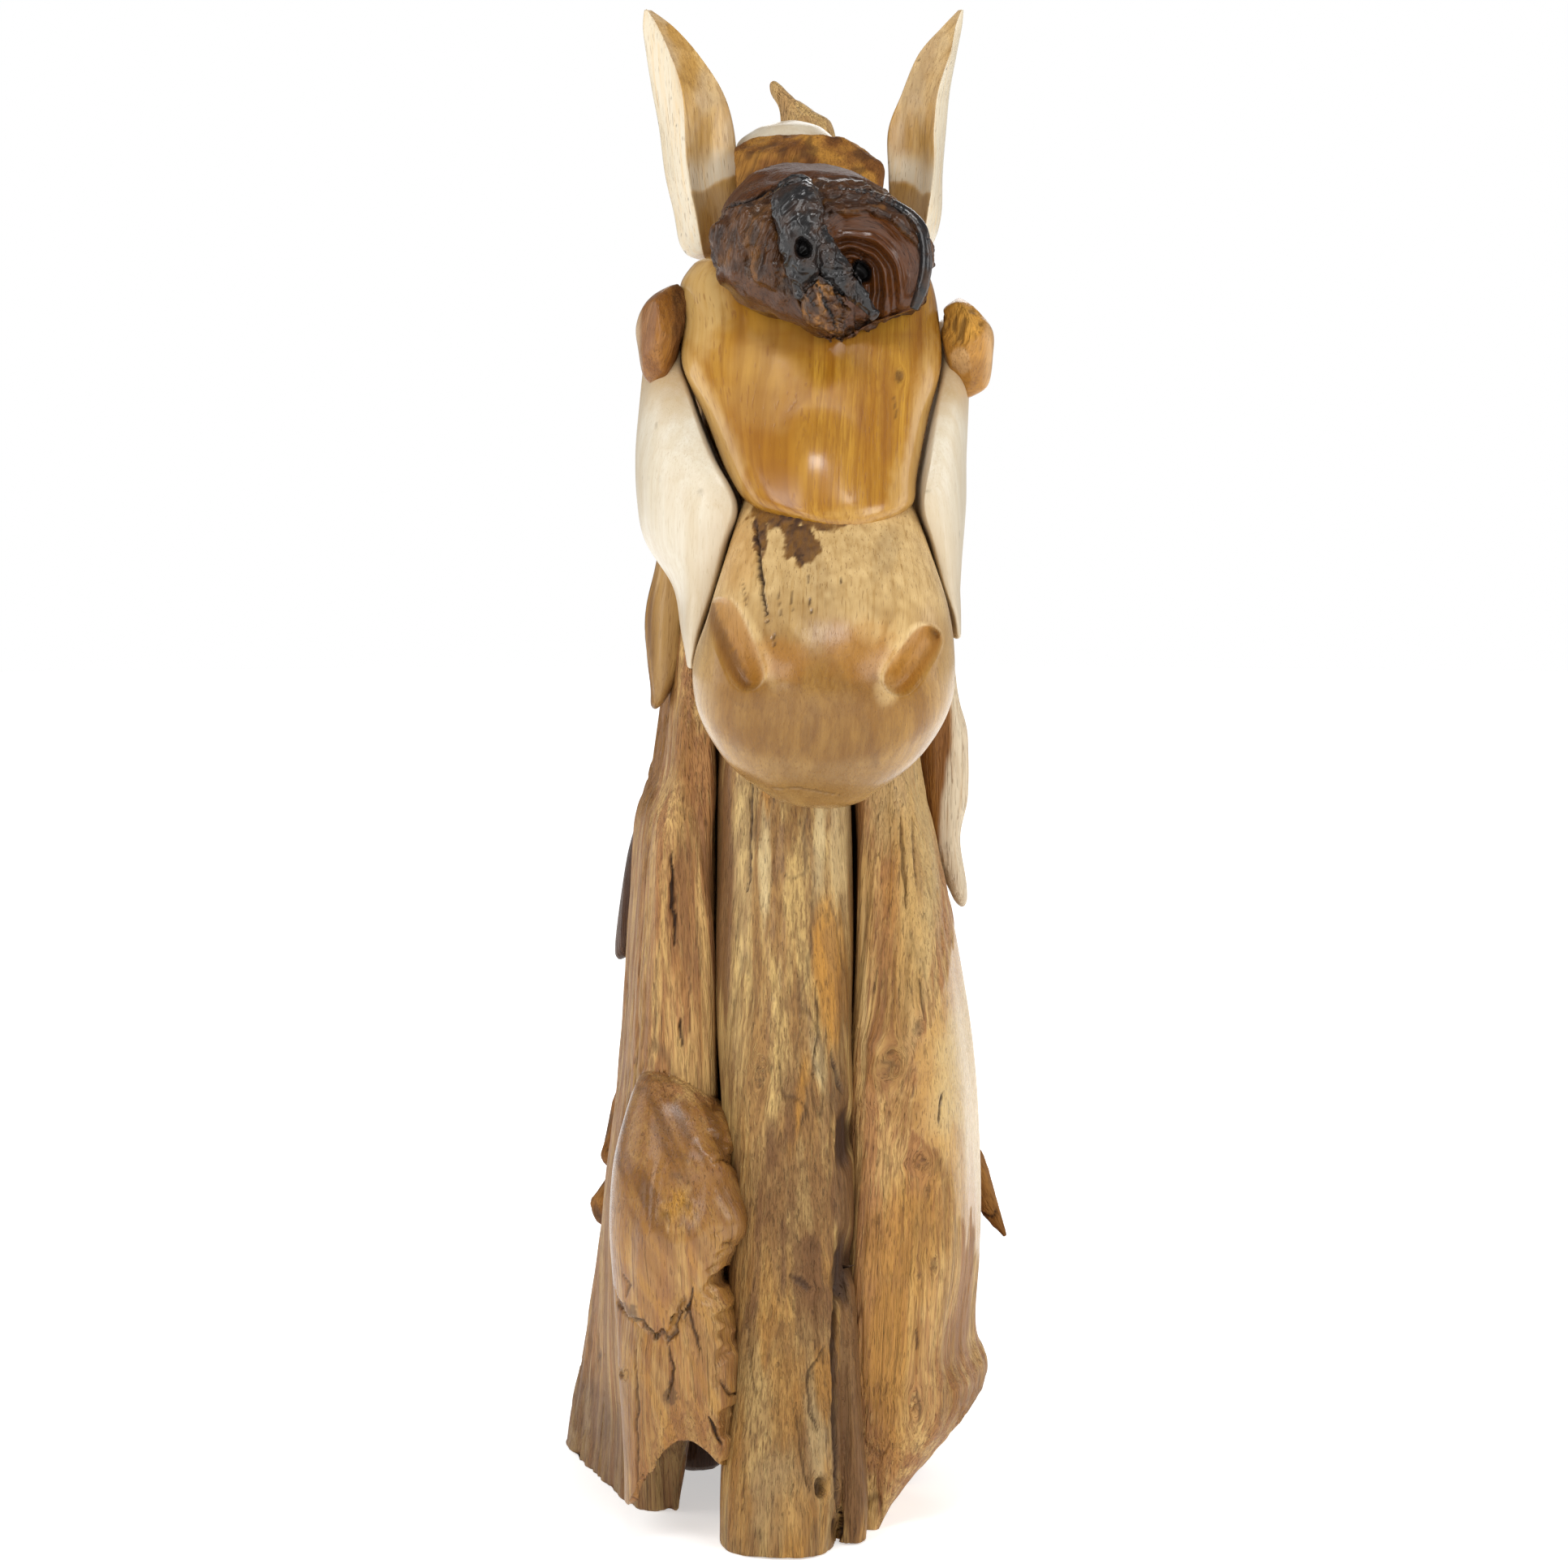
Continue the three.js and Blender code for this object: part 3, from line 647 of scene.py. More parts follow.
@dataclass(frozen=True)
class Knot:
    """A knot that the grain flows around, seen from the front."""

    x: float
    z: float
    radius: float
    tall: float = 1.5
    rise: float = 1.0
    shade: float = 0.6
    hollow: float = 0.0

    def carve(self, shell: Shell) -> None:
        """Bends the grain as a stream round a post, dx (1 - R^2 / r^2), and swells or sinks the knot.

        Args:
            shell: The skin.
        """
        dx = shell.points[:, 0] - self.x
        dz = (shell.points[:, 2] - self.z) / self.tall
        lobes = layered(shell.points, (1.5 * self.radius,) * 3, int(self.z), 2)
        reach = np.hypot(dx, dz) * (1.0 + 0.35 * lobes)
        ratio = self.radius**2 / np.maximum(reach, 0.35 * self.radius) ** 2
        calm = smooth(6.0, 2.5, reach / self.radius)
        front = shell.facing(-0.2, 0.3)
        inside = smooth(1.05, 0.55, reach / self.radius)
        shell.grain[:, 0] -= dx * np.minimum(ratio, 1.0) * calm * (1 - inside)
        curl = layered(shell.points, (1.1 * self.radius,) * 3, int(self.x) + 900, 2)
        shell.grain[:, 0] += inside * self.radius * curl
        shell.grain[:, 2] += inside * 5.0 * self.tall * dz
        swell = self.rise * smooth(2.6, 0.4, reach / self.radius)
        sink = self.hollow * smooth(1.0, 0.55, reach / self.radius)
        shell.push((swell - sink) * front)
        shell.wrinkle(0.12 * self.radius, inside * front, 0.7 * self.radius, int(self.z) + 5)
        shell.mark(DARK, self.shade * inside * front * (0.75 + 0.5 * lobes))


@dataclass(frozen=True)
class Patch:
    """A patch of another tone, an oval with a ragged edge that is drawn out along the grain."""

    mask: Mask
    x: float
    z: float
    wide: float
    tall: float
    lean: float = 0.0
    amount: float = 0.8
    edge: float = 0.9
    ragged: float = 0.3

    def carve(self, shell: Shell) -> None:
        """Marks the patch on the front of a skin.

        Args:
            shell: The skin.
        """
        seed = int(7 * self.x + 3 * self.z) % 900 + 50
        fray = layered(shell.points, (0.5 * self.wide, 0.5 * self.wide, 0.4 * self.tall), seed)
        fray += 0.6 * layered(shell.grain, (5, 5, 60), seed + 1, 2)
        reach = oval(shell.points, self.x, self.z, self.wide, self.tall, self.lean) + self.ragged * fray
        cover = smooth(1.0 + 0.5 * self.edge, 1.0 - 0.5 * self.edge, reach)
        shell.mark(self.mask, self.amount * cover * shell.facing(-0.1, 0.2))


def carve_all(shell: Shell, marks: Sequence[Crack | Knot | Patch]) -> None:
    """Carves marks into a skin, one after the other.

    Args:
        shell: The skin.
        marks: Its cracks, knots and patches.
    """
    for mark in marks:
        mark.carve(shell)


def hew(shell: Shell, centre: Array, facets: Sequence[Sequence[float]], share: float) -> None:
    """Presses what stands out past flat faces back towards them.

    Args:
        shell: The skin.
        centre: Point that the faces are measured from.
        facets: Direction and distance of each face.
        share: How much of what stands out goes.
    """
    for *direction, reach in facets:
        outward = np.array(direction) / np.linalg.norm(direction)
        over = np.maximum((shell.points - centre) @ outward - reach, 0.0)
        shell.points -= share * over[:, None] * outward


# Shader graphs


class Value:
    """A number socket that takes part in Python arithmetic; each operation adds a Math node."""

    def __init__(self, graph: "Graph", socket: bpy.types.NodeSocket) -> None:
        """Wraps a socket of a graph."""
        self.graph = graph
        self.socket = socket

    def math(self, operation: str, *others: "Value | float") -> "Value":
        """Adds a Math node with this value first."""
        inputs = dict(enumerate((self, *others)))
        return self.graph.value("ShaderNodeMath", {"operation": operation}, inputs)

    def reflected(self, operation: str, other: float) -> "Value":
        """Adds a Math node with this value second."""
        return self.graph.value("ShaderNodeMath", {"operation": operation}, {0: other, 1: self})

    def __add__(self, other: "Value | float") -> "Value":
        """Sum."""
        return self.math("ADD", other)

    __radd__ = __add__

    def __sub__(self, other: "Value | float") -> "Value":
        """Difference."""
        return self.math("SUBTRACT", other)

    def __rsub__(self, other: float) -> "Value":
        """Difference from a number."""
        return self.reflected("SUBTRACT", other)

    def __mul__(self, other: "Value | float") -> "Value":
        """Product."""
        return self.math("MULTIPLY", other)

    __rmul__ = __mul__

    def __truediv__(self, other: "Value | float") -> "Value":
        """Quotient."""
        return self.math("DIVIDE", other)

    def __rtruediv__(self, other: float) -> "Value":
        """Quotient of a number by this value."""
        return self.reflected("DIVIDE", other)

    def __pow__(self, other: float) -> "Value":
        """Power."""
        return self.math("POWER", other)

    def step(self, low: float, high: float) -> "Value":
        """Goes smoothly from 0 at low to 1 at high."""
        settings = {"interpolation_type": "SMOOTHSTEP"}
        return self.graph.value("ShaderNodeMapRange", settings, {0: self, 1: low, 2: high, 3: 0.0, 4: 1.0})


Input = Value | bpy.types.NodeSocket | float | Sequence[float]


class Graph:
    """A node tree and the one method through which nodes are added to it."""

    def __init__(self, tree: bpy.types.NodeTree) -> None:
        """Takes an empty tree."""
        self.tree = tree
        tree.nodes.clear()

    def node(self, kind: str, settings: dict[str, Any] | None = None,
             inputs: dict[int | str, Input] | None = None) -> bpy.types.Node:
        """Adds a node.

        Args:
            kind: Type of the node.
            settings: Its properties, which are set first.
            inputs: Values or links of its sockets, by number or name.

        Returns:
            The node.
        """
        node = self.tree.nodes.new(kind)
        for name, setting in (settings or {}).items():
            setattr(node, name, setting)
        for key, given in (inputs or {}).items():
            if isinstance(given, Value):
                self.tree.links.new(given.socket, node.inputs[key])
            elif isinstance(given, bpy.types.NodeSocket):
                self.tree.links.new(given, node.inputs[key])
            else:
                node.inputs[key].default_value = given
        return node

    def value(self, kind: str, settings: dict[str, Any] | None = None,
              inputs: dict[int | str, Input] | None = None, output: int | str = 0) -> Value:
        """Adds a node and wraps one of its outputs."""
        return Value(self, self.node(kind, settings, inputs).outputs[output])

    def attribute(self, name: str, output: str) -> Value:
        """Reads an attribute of the piece."""
        return self.value("ShaderNodeAttribute", {"attribute_name": name}, None, output)

    def noise(self, place: Value, stretch: Colour, detail: float, shift: float = 0.0) -> Value:
        """Noise from 0 to 1 over places stretched along each axis.

        Args:
            place: The places, as a vector.
            stretch: Cells in a metre along the three axes.
            detail: How many finer noises are added.
            shift: Moves the pattern, so that two noises of one stretch differ.

        Returns:
            The noise.
        """
        moved = self.value("ShaderNodeVectorMath", {"operation": "MULTIPLY_ADD"},
                           {0: place, 1: stretch, 2: (shift, 1.7 * shift, 2.3 * shift)})
        return self.value("ShaderNodeTexNoise", {"noise_dimensions": "3D"},
                          {"Vector": moved, "Scale": 1.0, "Detail": detail, "Roughness": 0.55})

    def mix(self, first: Input, second: Input, share: Value) -> Value:
        """Mixes two colours by a share."""
        inputs = {0: share, 6: paint(first), 7: paint(second)}
        return self.value("ShaderNodeMix", {"data_type": "RGBA"}, inputs, 2)


def paint(colour: Input) -> Input:
    """Adds full alpha to a plain colour and leaves a link alone."""
    return (*colour, 1.0) if isinstance(colour, tuple) else colour


@dataclass(frozen=True)
class Wood:
    """A wood finish: growth rings, fibre streaks, pores and cracks under oil or bare."""

    slot: Slot
    name: str
    light: Colour
    middle: Colour
    late: Colour
    pale: Colour
    stain_and_shade: Colour
    dark: Colour
    gold: Colour = (0.42, 0.19, 0.030)
    ring_gap: float = 0.0065
    ring_share: float = 0.5
    ring_sway: float = 0.045
    fibre_share: float = 0.45
    fibre_length: float = 0.110
    stripe: float = 0.14
    blotch_share: float = 0.3
    check_share: float = 0.0
    polish: float = 0.34
    bare: float = 0.72
    coat: float = 0.25
    relief: float = 0.0007

    def material(self) -> bpy.types.Material:
        """Builds the finish once and gives it out again afterwards.

        Returns:
            The material.
        """
        made = bpy.data.materials.get(self.name)
        if made:
            return made
        made = bpy.data.materials.new(self.name)
        made.use_nodes = True
        graph = Graph(made.node_tree)
        grain = graph.attribute("grain", "Vector")
        masks = {mask: graph.attribute(mask.value, "Fac") for mask in Mask}
        ring = self.rings(graph, grain)
        fibre = graph.noise(grain, (380.0, 380.0, 1.0 / self.fibre_length), 5.0)
        raised = graph.noise(grain, (430.0, 430.0, 42.0), 2.0, 13.0).step(0.56, 0.70)
        hair = graph.noise(grain, (620.0, 620.0, 14.0), 2.0, 11.0).step(0.48, 0.66)
        streak = graph.noise(grain, (60.0, 60.0, 2.2), 4.0, 3.0).step(0.5 - self.stripe, 0.5 + self.stripe)
        pore = graph.noise(grain, (900.0, 900.0, 70.0), 1.0, 5.0).step(0.62, 0.72)
        check = graph.noise(grain, (420.0, 420.0, 5.0), 2.0, 9.0).step(0.64, 0.70) * self.check_share
        blotch = graph.noise(grain, (22.0, 22.0, 9.0), 5.0, 7.0).step(0.44, 0.66)
        colour = graph.mix(self.light, self.middle, streak)
        colour = graph.mix(colour, self.middle, blotch * self.blotch_share)
        colour = graph.mix(colour, self.late, ring * self.ring_share)
        colour = graph.mix(colour, self.late, fibre.step(0.42, 0.74) * self.fibre_share)
        colour = graph.mix(colour, self.late, hair * (0.5 * self.fibre_share))
        # Painted glint: raised fibres on bare wood are lightened as if they caught the light; the same noise
        # also raises them in the bump.
        colour = graph.mix(colour, self.light, raised * masks[RAW] * (0.8 * self.fibre_share))
        # The pale colour serves paler wood and, on some pieces, painted highlights.
        sap = graph.mix(self.pale, self.light, fibre.step(0.45, 0.8) * 0.5 + ring * 0.25)
        colour = graph.mix(colour, sap, masks[PALE])
        amber = graph.mix(self.gold, self.late, fibre.step(0.42, 0.74) * (0.7 * self.fibre_share))
        colour = graph.mix(colour, amber, masks[GOLD])
        # The stain colour serves real stains and, on some pieces, painted shade.
        tinge = graph.mix(self.stain_and_shade, self.late, fibre.step(0.4, 0.75) * 0.6)
        colour = graph.mix(colour, tinge, masks[STAIN_AND_SHADE])
        colour = graph.mix(colour, self.late, pore * 0.45)
        colour = graph.mix(colour, self.dark, check * (0.2 + 0.5 * masks[RAW]))
        colour = graph.mix(colour, self.dark, masks[DARK])
        bare = self.polish + (self.bare - self.polish) * masks[RAW]
        rough = bare + 0.16 * (fibre - 0.5) + 0.10 * pore
        height = (fibre + 0.5 * raised - 0.4 * hair) * (0.25 + masks[RAW]) - pore * 0.3 - check + ring * 0.15
        height = height * (1.0 - 0.7 * masks[DARK])
        relief = {"Strength": 1.0, "Distance": self.relief, "Height": height}
        bump = graph.node("ShaderNodeBump", None, relief)
        shader = graph.node("ShaderNodeBsdfPrincipled", None, {
            "Base Color": colour, "Roughness": rough, "Normal": bump.outputs[0],
            "Specular IOR Level": 0.20, "Coat Weight": (1.0 - masks[RAW]) * self.coat,
            "Coat Roughness": 0.20})
        graph.node("ShaderNodeOutputMaterial", None, {"Surface": shader.outputs[0]})
        return made

    def rings(self, graph: Graph, grain: Value) -> Value:
        """Growth rings: the distance from the pith line, swayed by noise, rising to a dark edge in each ring.

        Args:
            graph: Graph that the nodes are added to.
            grain: Place across and along the wood.

        Returns:
            0 in early wood, 1 at the late edge.
        """
        flat = graph.value("ShaderNodeVectorMath", {"operation": "MULTIPLY"}, {0: grain, 1: (1.0, 1.0, 0.0)})
        reach = graph.value("ShaderNodeVectorMath", {"operation": "LENGTH"}, {0: flat}, "Value")
        sway = graph.noise(grain, (11.0, 11.0, 3.0), 3.0, 1.0) - 0.5
        count = (reach + sway * self.ring_sway) / self.ring_gap
        part = count.math("FRACT")
        return part**3 * (1.0 - part.step(0.9, 1.0))


HONEY = Wood(
    Slot.HONEY, "honey_teak", light=(0.46, 0.235, 0.030), middle=(0.33, 0.138, 0.011),
    late=(0.20, 0.068, 0.005), pale=(0.56, 0.36, 0.130), stain_and_shade=(0.21, 0.072, 0.012),
    dark=(0.050, 0.018, 0.007),
    ring_gap=0.0070, ring_share=0.50, ring_sway=0.022, fibre_share=0.50, blotch_share=0.7, polish=0.24,
    coat=0.55,
    relief=0.0003)
TAN = Wood(
    Slot.TAN, "tan_teak", light=(0.355, 0.186, 0.038), middle=(0.24, 0.108, 0.014),
    late=(0.155, 0.064, 0.009), pale=(0.66, 0.46, 0.21), stain_and_shade=(0.095, 0.047, 0.026),
    dark=(0.036, 0.017, 0.009),
    gold=(0.44, 0.185, 0.022), ring_gap=0.0110, ring_share=0.35, ring_sway=0.060, fibre_share=0.40,
    blotch_share=0.8,
    polish=0.27, coat=0.25, relief=0.0004)
EAR = replace(
    TAN, name="ear_teak", pale=(0.62, 0.545, 0.41), light=(0.60, 0.375, 0.13), middle=(0.46, 0.255, 0.066))
SAPWOOD = Wood(
    Slot.SAPWOOD, "pale_sapwood", light=(0.645, 0.585, 0.470), middle=(0.600, 0.520, 0.385),
    late=(0.50, 0.385, 0.240), pale=(0.70, 0.65, 0.54), stain_and_shade=(0.42, 0.265, 0.105),
    dark=(0.080, 0.040, 0.018),
    ring_gap=0.0120, ring_share=0.25, fibre_share=0.30, blotch_share=0.5, polish=0.36, coat=0.15,
    relief=0.0004)
BROWN = Wood(
    Slot.BROWN, "brown_teak", light=(0.33, 0.145, 0.030), middle=(0.21, 0.080, 0.014),
    late=(0.11, 0.036, 0.007), pale=(0.64, 0.53, 0.37), stain_and_shade=(0.10, 0.034, 0.010),
    dark=(0.026, 0.011, 0.006),
    gold=(0.58, 0.285, 0.045), ring_share=0.30, fibre_share=0.45, fibre_length=0.050, check_share=0.3,
    polish=0.30,
    coat=0.20, relief=0.0010)
BURL = Wood(
    Slot.BURL, "burl_root", light=(0.100, 0.039, 0.010), middle=(0.056, 0.020, 0.005),
    late=(0.026, 0.008, 0.002), pale=(0.33, 0.145, 0.034), stain_and_shade=(0.092, 0.026, 0.003),
    dark=(0.013, 0.012, 0.012),
    ring_share=0.30, fibre_share=0.60, fibre_length=0.040, check_share=0.5, polish=0.16, bare=0.55, coat=0.40,
    relief=0.0014)
WEATHERED = Wood(
    Slot.WEATHERED, "weathered_teak", light=(0.60, 0.375, 0.135), middle=(0.41, 0.200, 0.068),
    late=(0.215, 0.088, 0.036), pale=(0.56, 0.395, 0.172), stain_and_shade=(0.235, 0.102, 0.020),
    dark=(0.032, 0.014, 0.007),
    gold=(0.48, 0.235, 0.036), ring_share=0.35, fibre_share=0.68, fibre_length=0.150, stripe=0.06,
    check_share=0.6,
    polish=0.22, coat=0.30, relief=0.0018)
LOG = replace(
    WEATHERED, name="mottled_teak", light=(0.60, 0.400, 0.145), middle=(0.34, 0.183, 0.056),
    late=(0.150, 0.066, 0.021), pale=(0.62, 0.470, 0.235), stain_and_shade=(0.150, 0.067, 0.024),
    gold=(0.47, 0.215, 0.030),
    blotch_share=0.7, polish=0.26, fibre_length=0.090, stripe=0.08)


@dataclass
class SubAssembly:
    """A group of pieces that are built and dressed together."""

    def add(self, name: str, shell: Shell, wood: Wood) -> None:
        """Sets a skin on the floor, makes a piece of it and lets that stand for the solid of its name.

        Args:
            name: Name of the piece and of the solid.
            shell: The finished skin.
            wood: Its finish.
        """
        shell.points[:, 2] = np.maximum(shell.points[:, 2], 0.0)
        piece = bpy.data.objects.new(name + "_wood", shell.to_mesh(name + "_wood"))
        bpy.context.scene.collection.objects.link(piece)
        piece.data.materials.append(wood.material())
        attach(piece, BODY)
        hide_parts(name)
        log.info("%s: %d points, %s", piece.name, len(shell.points), wood.name)


# Face


@dataclass
class Face(SubAssembly):
    """Forehead, muzzle, cheeks and eyes."""

    forehead: Lump = Lump(low_round=5, top_round=14, cuts=(
        at(891, 40, 64, -226, -185, mid=-212), at(897, 10, 84, -232, -160, mid=-204),
        at(912, -28, 109, -230, -125, mid=-188), at(938, -48, 114, -217, -100, mid=-170),
        at(985, -67, 124, -190, -70, mid=-142), at(1032, -88, 136, -162, -40, mid=-114),
        at(1070, -87, 135, -142, -20, mid=-94), at(1105, -90, 129, -124, -5, mid=-76),
        at(1136, -66, 114, -104, 0, mid=-60)))
    # Tones of the forehead: the pale patches along its edges are partly paler wood and partly painted sheen.
    forehead_tones_sheen_shade: tuple[Patch, ...] = (
        Patch(PALE, -68, 990, 15, 80, -0.4, 0.75), Patch(PALE, -72, 1084, 24, 40, 0.0, 0.85),
        Patch(PALE, 116, 970, 11, 80, 0.15, 0.55), Patch(PALE, 98, 925, 10, 34, 0.2, 0.5),
        Patch(PALE, 70, 904, 30, 7, 0.0, 0.4), Patch(PALE, -20, 1020, 30, 40, 0.4, 0.3),
        Patch(STAIN_AND_SHADE, 87, 1000, 7, 60, 0.0, 0.5), Patch(STAIN_AND_SHADE, 66, 1010, 6, 50, 0.0, 0.3),
        # The reddish-brown band at x 44, z 1052 is painted shade under the forelock burl.
        Patch(STAIN_AND_SHADE, -30, 985, 22, 34, 0.3, 0.3), Patch(STAIN_AND_SHADE, 44, 1052, 66, 14, 0.0, 0.4),
        Patch(STAIN_AND_SHADE, -8, 935, 34, 16, 0.6, 0.25))
    muzzle: Lump = Lump(low_round=8, cuts=(
        at(657, 14, 62, -246, -180), at(666, -8, 72, -262, -165), at(685, -36, 99, -290, -145, mid=-222),
        at(707, -57, 121, -311, -125, mid=-218), at(740, -73, 140, -328, -105, mid=-215),
        at(780, -77, 145, -329, -92, mid=-212), at(825, -63, 139, -307, -90, mid=-208),
        at(870, -49, 124, -264, -95, mid=-196), at(912, -36, 109, -215, -105, mid=-172),
        at(935, -26, 98, -192, -120, mid=-160)))
    cheek_left: Lump = Lump(power=2.3, low_round=4, top_round=20, cuts=(
        at(771, -84, -74, -186, -60, -79, -100), at(800, -90, -69, -190, -25, -76, -80),
        at(840, -98, -57, -194, 0, -64, -65), at(880, -122, -45, -199, 10, -54, -60),
        at(914, -129, -38, -204, 15, -46, -60), at(955, -130, -59, -186, 15, -66, -60),
        at(1000, -126, -77, -152, 10, -82, -58), at(1036, -122, -84, -108, -2, -96, -50),
        at(1076, -116, -83, -84, -20, -98, -50)))
    cheek_right: Lump = Lump(power=2.3, low_round=4, top_round=20, cuts=(
        at(797, 145, 152, -186, -60, 149, -100), at(818, 141, 153, -188, -25, 146, -80),
        at(845, 131, 155, -192, 0, 137, -65), at(880, 121, 158, -199, 10, 128, -60),
        at(914, 112, 160, -204, 15, 119, -60), at(955, 119, 160, -186, 15, 126, -60),
        at(1000, 130, 162, -152, 10, 135, -58), at(1036, 133, 164, -108, -2, 143, -50),
        at(1074, 131, 158, -84, -20, 144, -50)))
    eye_left: Lump = Lump(power=2.2, low_round=10, top_round=10, cuts=(
        at(1013, -114, -104, -122, -72), at(1024, -122, -98, -130, -68), at(1045, -126, -92, -138, -62),
        at(1066, -128, -86, -140, -58), at(1086, -120, -83, -136, -60), at(1102, -102, -88, -122, -72)))
    eye_right: Lump = Lump(power=2.2, low_round=10, top_round=10, cuts=(
        at(1004, 152, 164, -118, -72), at(1016, 146, 177, -130, -66), at(1040, 139, 181, -138, -60),
        at(1062, 136, 181, -138, -58), at(1080, 138, 168, -132, -60), at(1091, 147, 157, -118, -72)))
    # Nostrils: upper end, lower end, half width, depth
    nostrils: tuple[tuple[Spot, Spot, float, float], ...] = (
        ((-58, 836), (-24, 764), 17, 16), ((126, 812), (86, 762), 16, 16))
    chin_crease: tuple[Spot, ...] = (
        (-80, 748), (-63, 727), (-24, 710), (36, 703), (96, 712), (129, 737), (150, 756))
    # Pale spots of the muzzle that are painted sheen: x, z, half width, half height, lean and strength
    painted_sheen: tuple[tuple[float, ...], ...] = (
        (66, 822, 30, 15, 1.1, 0.85), (92, 805, 12, 30, 0.35, 0.75), (10, 818, 26, 9, 1.0, 0.55),
        (-18, 792, 7, 30, -0.35, 0.65), (84, 765, 12, 14, 0.6, 0.6), (50, 850, 40, 18, 1.4, 0.4))
    muzzle_tones: tuple[Patch, ...] = (
        Patch(STAIN_AND_SHADE, 24, 735, 95, 60, 1.57, 0.32), Patch(GOLD, 62, 795, 30, 22, 0.0, 0.5),
        Patch(GOLD, -2, 790, 24, 16, 0.2, 0.55),
        Patch(GOLD, -40, 870, 18, 34, 0.2, 0.35), Patch(STAIN_AND_SHADE, 44, 775, 26, 7, 1.2, 0.40),
        Patch(STAIN_AND_SHADE, 22, 738, 34, 9, 1.75, 0.45), Patch(STAIN_AND_SHADE, -36, 738, 30, 8, 1.6, 0.25),
        Patch(STAIN_AND_SHADE, 70, 722, 30, 5, 1.3, 0.35), Patch(STAIN_AND_SHADE, 30, 850, 34, 10, 1.3, 0.22),
        Patch(STAIN_AND_SHADE, 84, 872, 10, 22, 0.3, 0.22), Patch(STAIN_AND_SHADE, 30, 672, 40, 6, 1.57, 0.3))
    middle: float = 32.0
    # Flat faces of an eye: direction and distance from its middle
    eye_facets: tuple[tuple[float, ...], ...] = (
        (-0.35, -0.75, -0.55, 33), (0.6, -0.75, -0.3, 30), (0.2, -0.6, -0.75, 42), (-0.75, -0.6, 0.1, 26),
        (0.75, -0.6, 0.35, 28))
    seam_width: float = 2.6
    seam_depth: float = 5.0

    def build(self) -> None:
        """Builds and dresses the pieces of the face."""
        self.add("forehead", self.dressed_forehead(), HONEY)
        self.add("muzzle", self.dressed_muzzle(), TAN)
        for name, form, seed in (("cheek_left", self.cheek_left, 3), ("cheek_right", self.cheek_right, 4)):
            self.add(name, self.dressed_cheek(form, seed), SAPWOOD)
        self.add("eye_left", self.dressed_eye(self.eye_left, -107, 5), BROWN)
        self.add("eye_right", self.dressed_eye(self.eye_right, 160, 6), BROWN)

    def dressed_forehead(self) -> Shell:
        """Polished plate with upright grain on the right, arcs below and one small knot.

        Returns:
            The finished skin.
        """
        shell = self.forehead.surface(130, 150)
        shell.lay_grain((-48, -92), (0.05, 0.52), 1000, 1)
        across = shell.grain[:, 0] - 70
        shell.grain[:, 0] = 70 + np.where(across > 0, across, 0.25 * across)
        shell.weather(1.2, 0.0, 11)
        shell.push(5.0 * smooth(1.0, 0.0, oval(shell.points, 28, 952, 46, 44)))
        carve_all(shell, (
            Knot(98, 1022, 4.5, 1.6, 0.4, 0.8, 1.0), Crack(((93, 1004), (95, 985)), 1.6, 0.6, 0.5)))
        # Tones, with painted sheen along the edges and painted shade under the burl.
        carve_all(shell, self.forehead_tones_sheen_shade)
        return shell

    def dressed_muzzle(self) -> Shell:
        """Polished muzzle with scooped nostrils, a bark patch under the forehead, cracks and a chin crease.

        Returns:
            The finished skin.
        """
        shell = self.muzzle.surface(185, 180)
        shell.lay_grain((150, -150), (0.05, -0.10), 800, 2)
        low = 800 + 911.0 * 2 - shell.grain[:, 2]
        shell.grain[:, 2] -= 2.0 * np.maximum(low, 0.0)
        z = shell.points[:, 2]
        shell.grain[:, 1] -= 0.9 * np.maximum(z - 790, 0.0) + 0.36 * np.maximum(770 - z, 0.0)
        shell.weather(1.6, 0.0, 21)
        for upper, lower, half_width, depth in self.nostrils:
            self.scoop(shell, upper, lower, half_width, depth)
        below = np.interp(shell.points[:, 0], *np.array(self.chin_crease).T) - shell.points[:, 2]
        shell.push(-1.6 * smooth(-12.0, 14.0, below) * smooth(60.0, 14.0, below))
        carve_all(shell, (
            Crack(((-23, 897), (-20, 861), (-14, 818)), 2.2, 5.0),
            Crack(((20, 856), (22, 826)), 1.2, 2.0, 0.7),
            Crack(((-4, 850), (-3, 822)), 1.0, 1.5, 0.5), Crack(((48, 858), (48, 846)), 1.2, 1.5, 0.8),
            Crack(((6, 846), (7, 828)), 1.0, 1.5, 0.6), Crack(((-34, 850), (-30, 830)), 1.0, 1.5, 0.5),
            Crack(((-9, 812), (-8, 800)), 1.4, 2.0, 0.7),
            Crack(((-14, 678), (12, 680), (46, 673)), 1.2, 1.0, 0.4, 4.0)))
        points = shell.points
        ragged = layered(points, (7, 7, 26), 22)
        lines = layered(points, (6, 6, 70), 25, 2)
        bark = np.minimum.reduce([
            oval(points, 14, 908, 44, 17), oval(points, 14, 884, 15, 17), oval(points, -20, 892, 6, 20)])
        patch = smooth(1.15, 0.90, bark + 0.40 * ragged + 0.25 * lines)
        shell.push(patch * 1.6 * lines)
        shell.mark(STAIN_AND_SHADE, patch * (0.75 + 0.6 * lines))
        shell.mark(DARK, 0.8 * patch * smooth(0.05, 0.45, lines))
        shell.mark(RAW, 0.7 * patch)
        cloud = 0.45 * layered(points, (28, 28, 28), 24)
        upper_half = smooth(775, 850, points[:, 2] + 40 * cloud)
        shell.mark(PALE, upper_half * (0.78 + 0.3 * lines) * (1 - patch))
